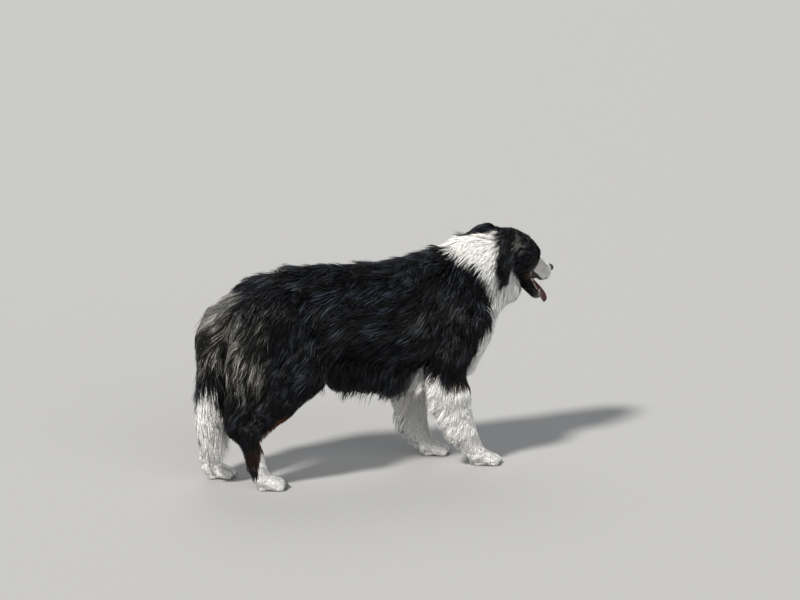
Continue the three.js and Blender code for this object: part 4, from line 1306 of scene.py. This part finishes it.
class Locks:
    """Grown locks of one make, all with the same number of rows."""

    def __init__(self, root, coat, table, lie, region, rows):
        path, own = grow(root, coat, table, lie, rows)
        self.root, self.region, self.rows = root, region, rows
        half = table[:, 1] * rng.uniform(*WIDTHS, len(root))
        self.corners = lock_corners(path, half, coat)
        shared = rng.uniform(size=own.max() + 1)[own]
        tone = shared * TONE_SHARED + rng.uniform(size=len(root)) * (1 - TONE_SHARED)
        seen = path[:, int(round(rows * SEEN))]  # what shows of a lock is its outer half
        seen = seen + rng.normal(size=root.shape) * np.minimum(table[:, :1] * 0.07, 4)
        ears_at = [list(CHARTS).index(name) for name in ("ear_left", "ear_right")]
        ear = np.isin(region, ears_at).astype(float)
        white, tan, silver = markings(seen, ear)
        self.values = dict(white=white, tan=tan, silver=silver, tone=tone)
        self.colour = np.where(white > 0.5, "white", np.where(tan > 0.5, "tan", "black"))

    def mesh_of(self, chosen, region):
        faces, spots = lock_template(self.rows)
        each = self.rows * 3 + 1
        starts = np.arange(len(chosen)) * each
        triangles = (faces[None] + starts[:, None, None]).reshape(-1, 3)
        low = patches(self.root[chosen], region)
        uv = (low[:, None, None] + spots[None] * PATCH).reshape(-1, 2)
        values = {key: np.repeat(value[chosen], each) for key, value in self.values.items()}
        along = np.append(np.repeat(np.arange(self.rows) / self.rows, 3), 1)
        values["along"] = np.tile(along, len(chosen))
        return self.corners[chosen].reshape(-1, 3), triangles, uv, values


def part_of(root, region):
    """A name for each root: its region, with the large regions parted by side and length."""
    names = np.array(list(CHARTS))[region].astype(object)
    for name, count in FAN.items():
        mine = names == name
        start, end = CHARTS[name]
        share = (root[mine] - start) @ unit(end - start) / np.linalg.norm(end - start)
        place = np.clip(share, 0, 0.999)
        right = (root[mine] - HEAD) @ LEFT < 0 if name == "head" else root[mine, 1] < 0
        sides = np.where(right, "_right", "_left") if name in BOTH_SIDES else [""] * len(right)
        names[mine] = [f"{name}_{'abc'[int(t * count)]}{side}" for t, side in zip(place, sides)]
    return names


def coat_piece(name, region, colour, parts, finish):
    points, faces, uvs, values, start = [], [], [], {}, 0
    for locks, chosen in parts:
        p, f, uv, v = locks.mesh_of(chosen, region)
        points.append(p)
        faces.append(f + start)
        uvs.append(uv)
        for key, value in v.items():
            values.setdefault(key, []).append(value)
        start += len(p)
    values = {key: np.concatenate(value) for key, value in values.items()}
    made = piece(name, np.concatenate(points), np.concatenate(faces), finish, "coat_" + colour,
                 **values)
    layer = made.data.uv_layers.new(name="OFBake")
    layer.data.foreach_set("uv", np.concatenate(uvs).astype(np.float32).ravel())


def coat(points, faces, leather, mouth):
    """All the hair, in pieces by place and colour."""
    field = Grid(np.arange(-440, 640, COAT_CELL), np.arange(-168, 175, COAT_CELL),
                 np.arange(-28, 650, COAT_CELL), coat=True)
    root = sow(points, faces, leather, mouth)
    table, lie, region = blend_of_bones(root)
    for s in SIDES:  # shorter round the eyes
        table[:, 0] *= mix(0.75, 1, smooth(np.linalg.norm(root - EYES[s], axis=1), 14, 28))
    tuft = ear_root(root - ABOVE * 18 - FORWARD * 6)  # rooted above and before what it covers
    table[:, 0] *= 1 + 1.2 * tuft
    lie = unit(mix(lie, -ABOVE - FORWARD * 0.25, (tuft * 0.9)[:, None]))
    finishes = {}
    for shade, looks in HAIR_LOOKS.items():
        finishes[shade] = coat_finish("coat_" + shade, *looks)
    batches = {}
    for low, high, rows in zip(ROW_BOUNDS[:-1], ROW_BOUNDS[1:], ROWS):
        mask = (table[:, 0] >= low) & (table[:, 0] < high)
        locks = Locks(root[mask], field, table[mask], lie[mask], region[mask], rows)
        names = part_of(locks.root, locks.region)
        for part in sorted(set(names)):
            for shade in HAIR_LOOKS:
                chosen = np.flatnonzero((names == part) & (locks.colour == shade))
                if len(chosen):
                    batches.setdefault((part, shade), []).append((locks, chosen))
    size = {key: sum(len(chosen) for _, chosen in parts) for key, parts in batches.items()}
    for key in [k for k in size if size[k] < FEWEST_LOCKS]:
        rest = [k for k in size if k[0] == key[0] and k != key and k in batches]
        if rest:
            batches[max(rest, key=size.get)] += batches.pop(key)
    for (part, shade), parts in batches.items():
        region_name = next(n for n in CHARTS if part.startswith(n))
        coat_piece(f"coat_{part}_{shade}", region_name, shade, parts, finishes[shade])


# ------------------------------------------------------------------ floor, lights, camera


FLOOR = 120000  # half its width, mm


def stage():
    corners = [(x * FLOOR, y * FLOOR, 0) for x, y in ((-1, -1), (1, -1), (1, 1), (-1, 1))]
    floor = mesh_piece("floor", corners, [(0, 1, 2, 3)], {}, smooth_shade=False)
    floor.data.materials.append(floor_finish())


# place, strength, colour, width in degrees
LAMPS = {
    "key": ((-1.7, -0.95, 2.5), 5.3, (1.0, 0.98, 0.94), 8),
    "fill": ((0.7, -2.5, 1.5), 1.45, (0.97, 0.98, 1.0), 55),
    "rim": ((0.3, 1.7, 2.8), 0.8, (1.0, 0.98, 0.95), 40),
}
LIT_PLACE = Vector((0, 0, 0.3))
SKY, SKY_STRENGTH = rgb(0.8, 0.88, 1.0), 0.25


def lights():
    for name, (place, strength, colour, width) in LAMPS.items():
        made = bpy.data.lights.new(name, "SUN")
        made.energy, made.color, made.angle = strength, colour, math.radians(width)
        holder = bpy.data.objects.new(name, made)
        holder.location = place
        holder.rotation_euler = (LIT_PLACE - Vector(place)).to_track_quat("-Z", "Y").to_euler()
        bpy.context.scene.collection.objects.link(holder)
    world = bpy.data.worlds.new("studio")
    world.use_nodes = True
    sky = world.node_tree.nodes["Background"].inputs
    sky["Color"].default_value, sky["Strength"].default_value = SKY, SKY_STRENGTH
    bpy.context.scene.world = world
    bpy.context.scene.view_settings.view_transform = "Standard"


CAMERA_PLACE = (-1163, -3675, 1259)  # mm, in the animal's axes
CAMERA_TURN = math.radians(19.4)
CAMERA_DOWN = math.radians(12.0)
LENS, SENSOR = 72, 36


def camera():
    lens = bpy.data.cameras.new("camera")
    lens.lens, lens.sensor_width = LENS, SENSOR
    made = bpy.data.objects.new("camera", lens)
    made.location = metres(CAMERA_PLACE)
    made.rotation_euler = (math.pi / 2 - CAMERA_DOWN, 0, -CAMERA_TURN)
    bpy.context.scene.collection.objects.link(made)
    bpy.context.scene.camera = made


# ------------------------------------------------------------------ the whole dog
camera()
lights()
stage()
wet = eye_finish()
skin_parts = skin()
for eye_side in SIDES:
    eyeball(eye_side, wet)
nose_leather()
tongue()
teeth()
claws()
coat(*skin_parts)
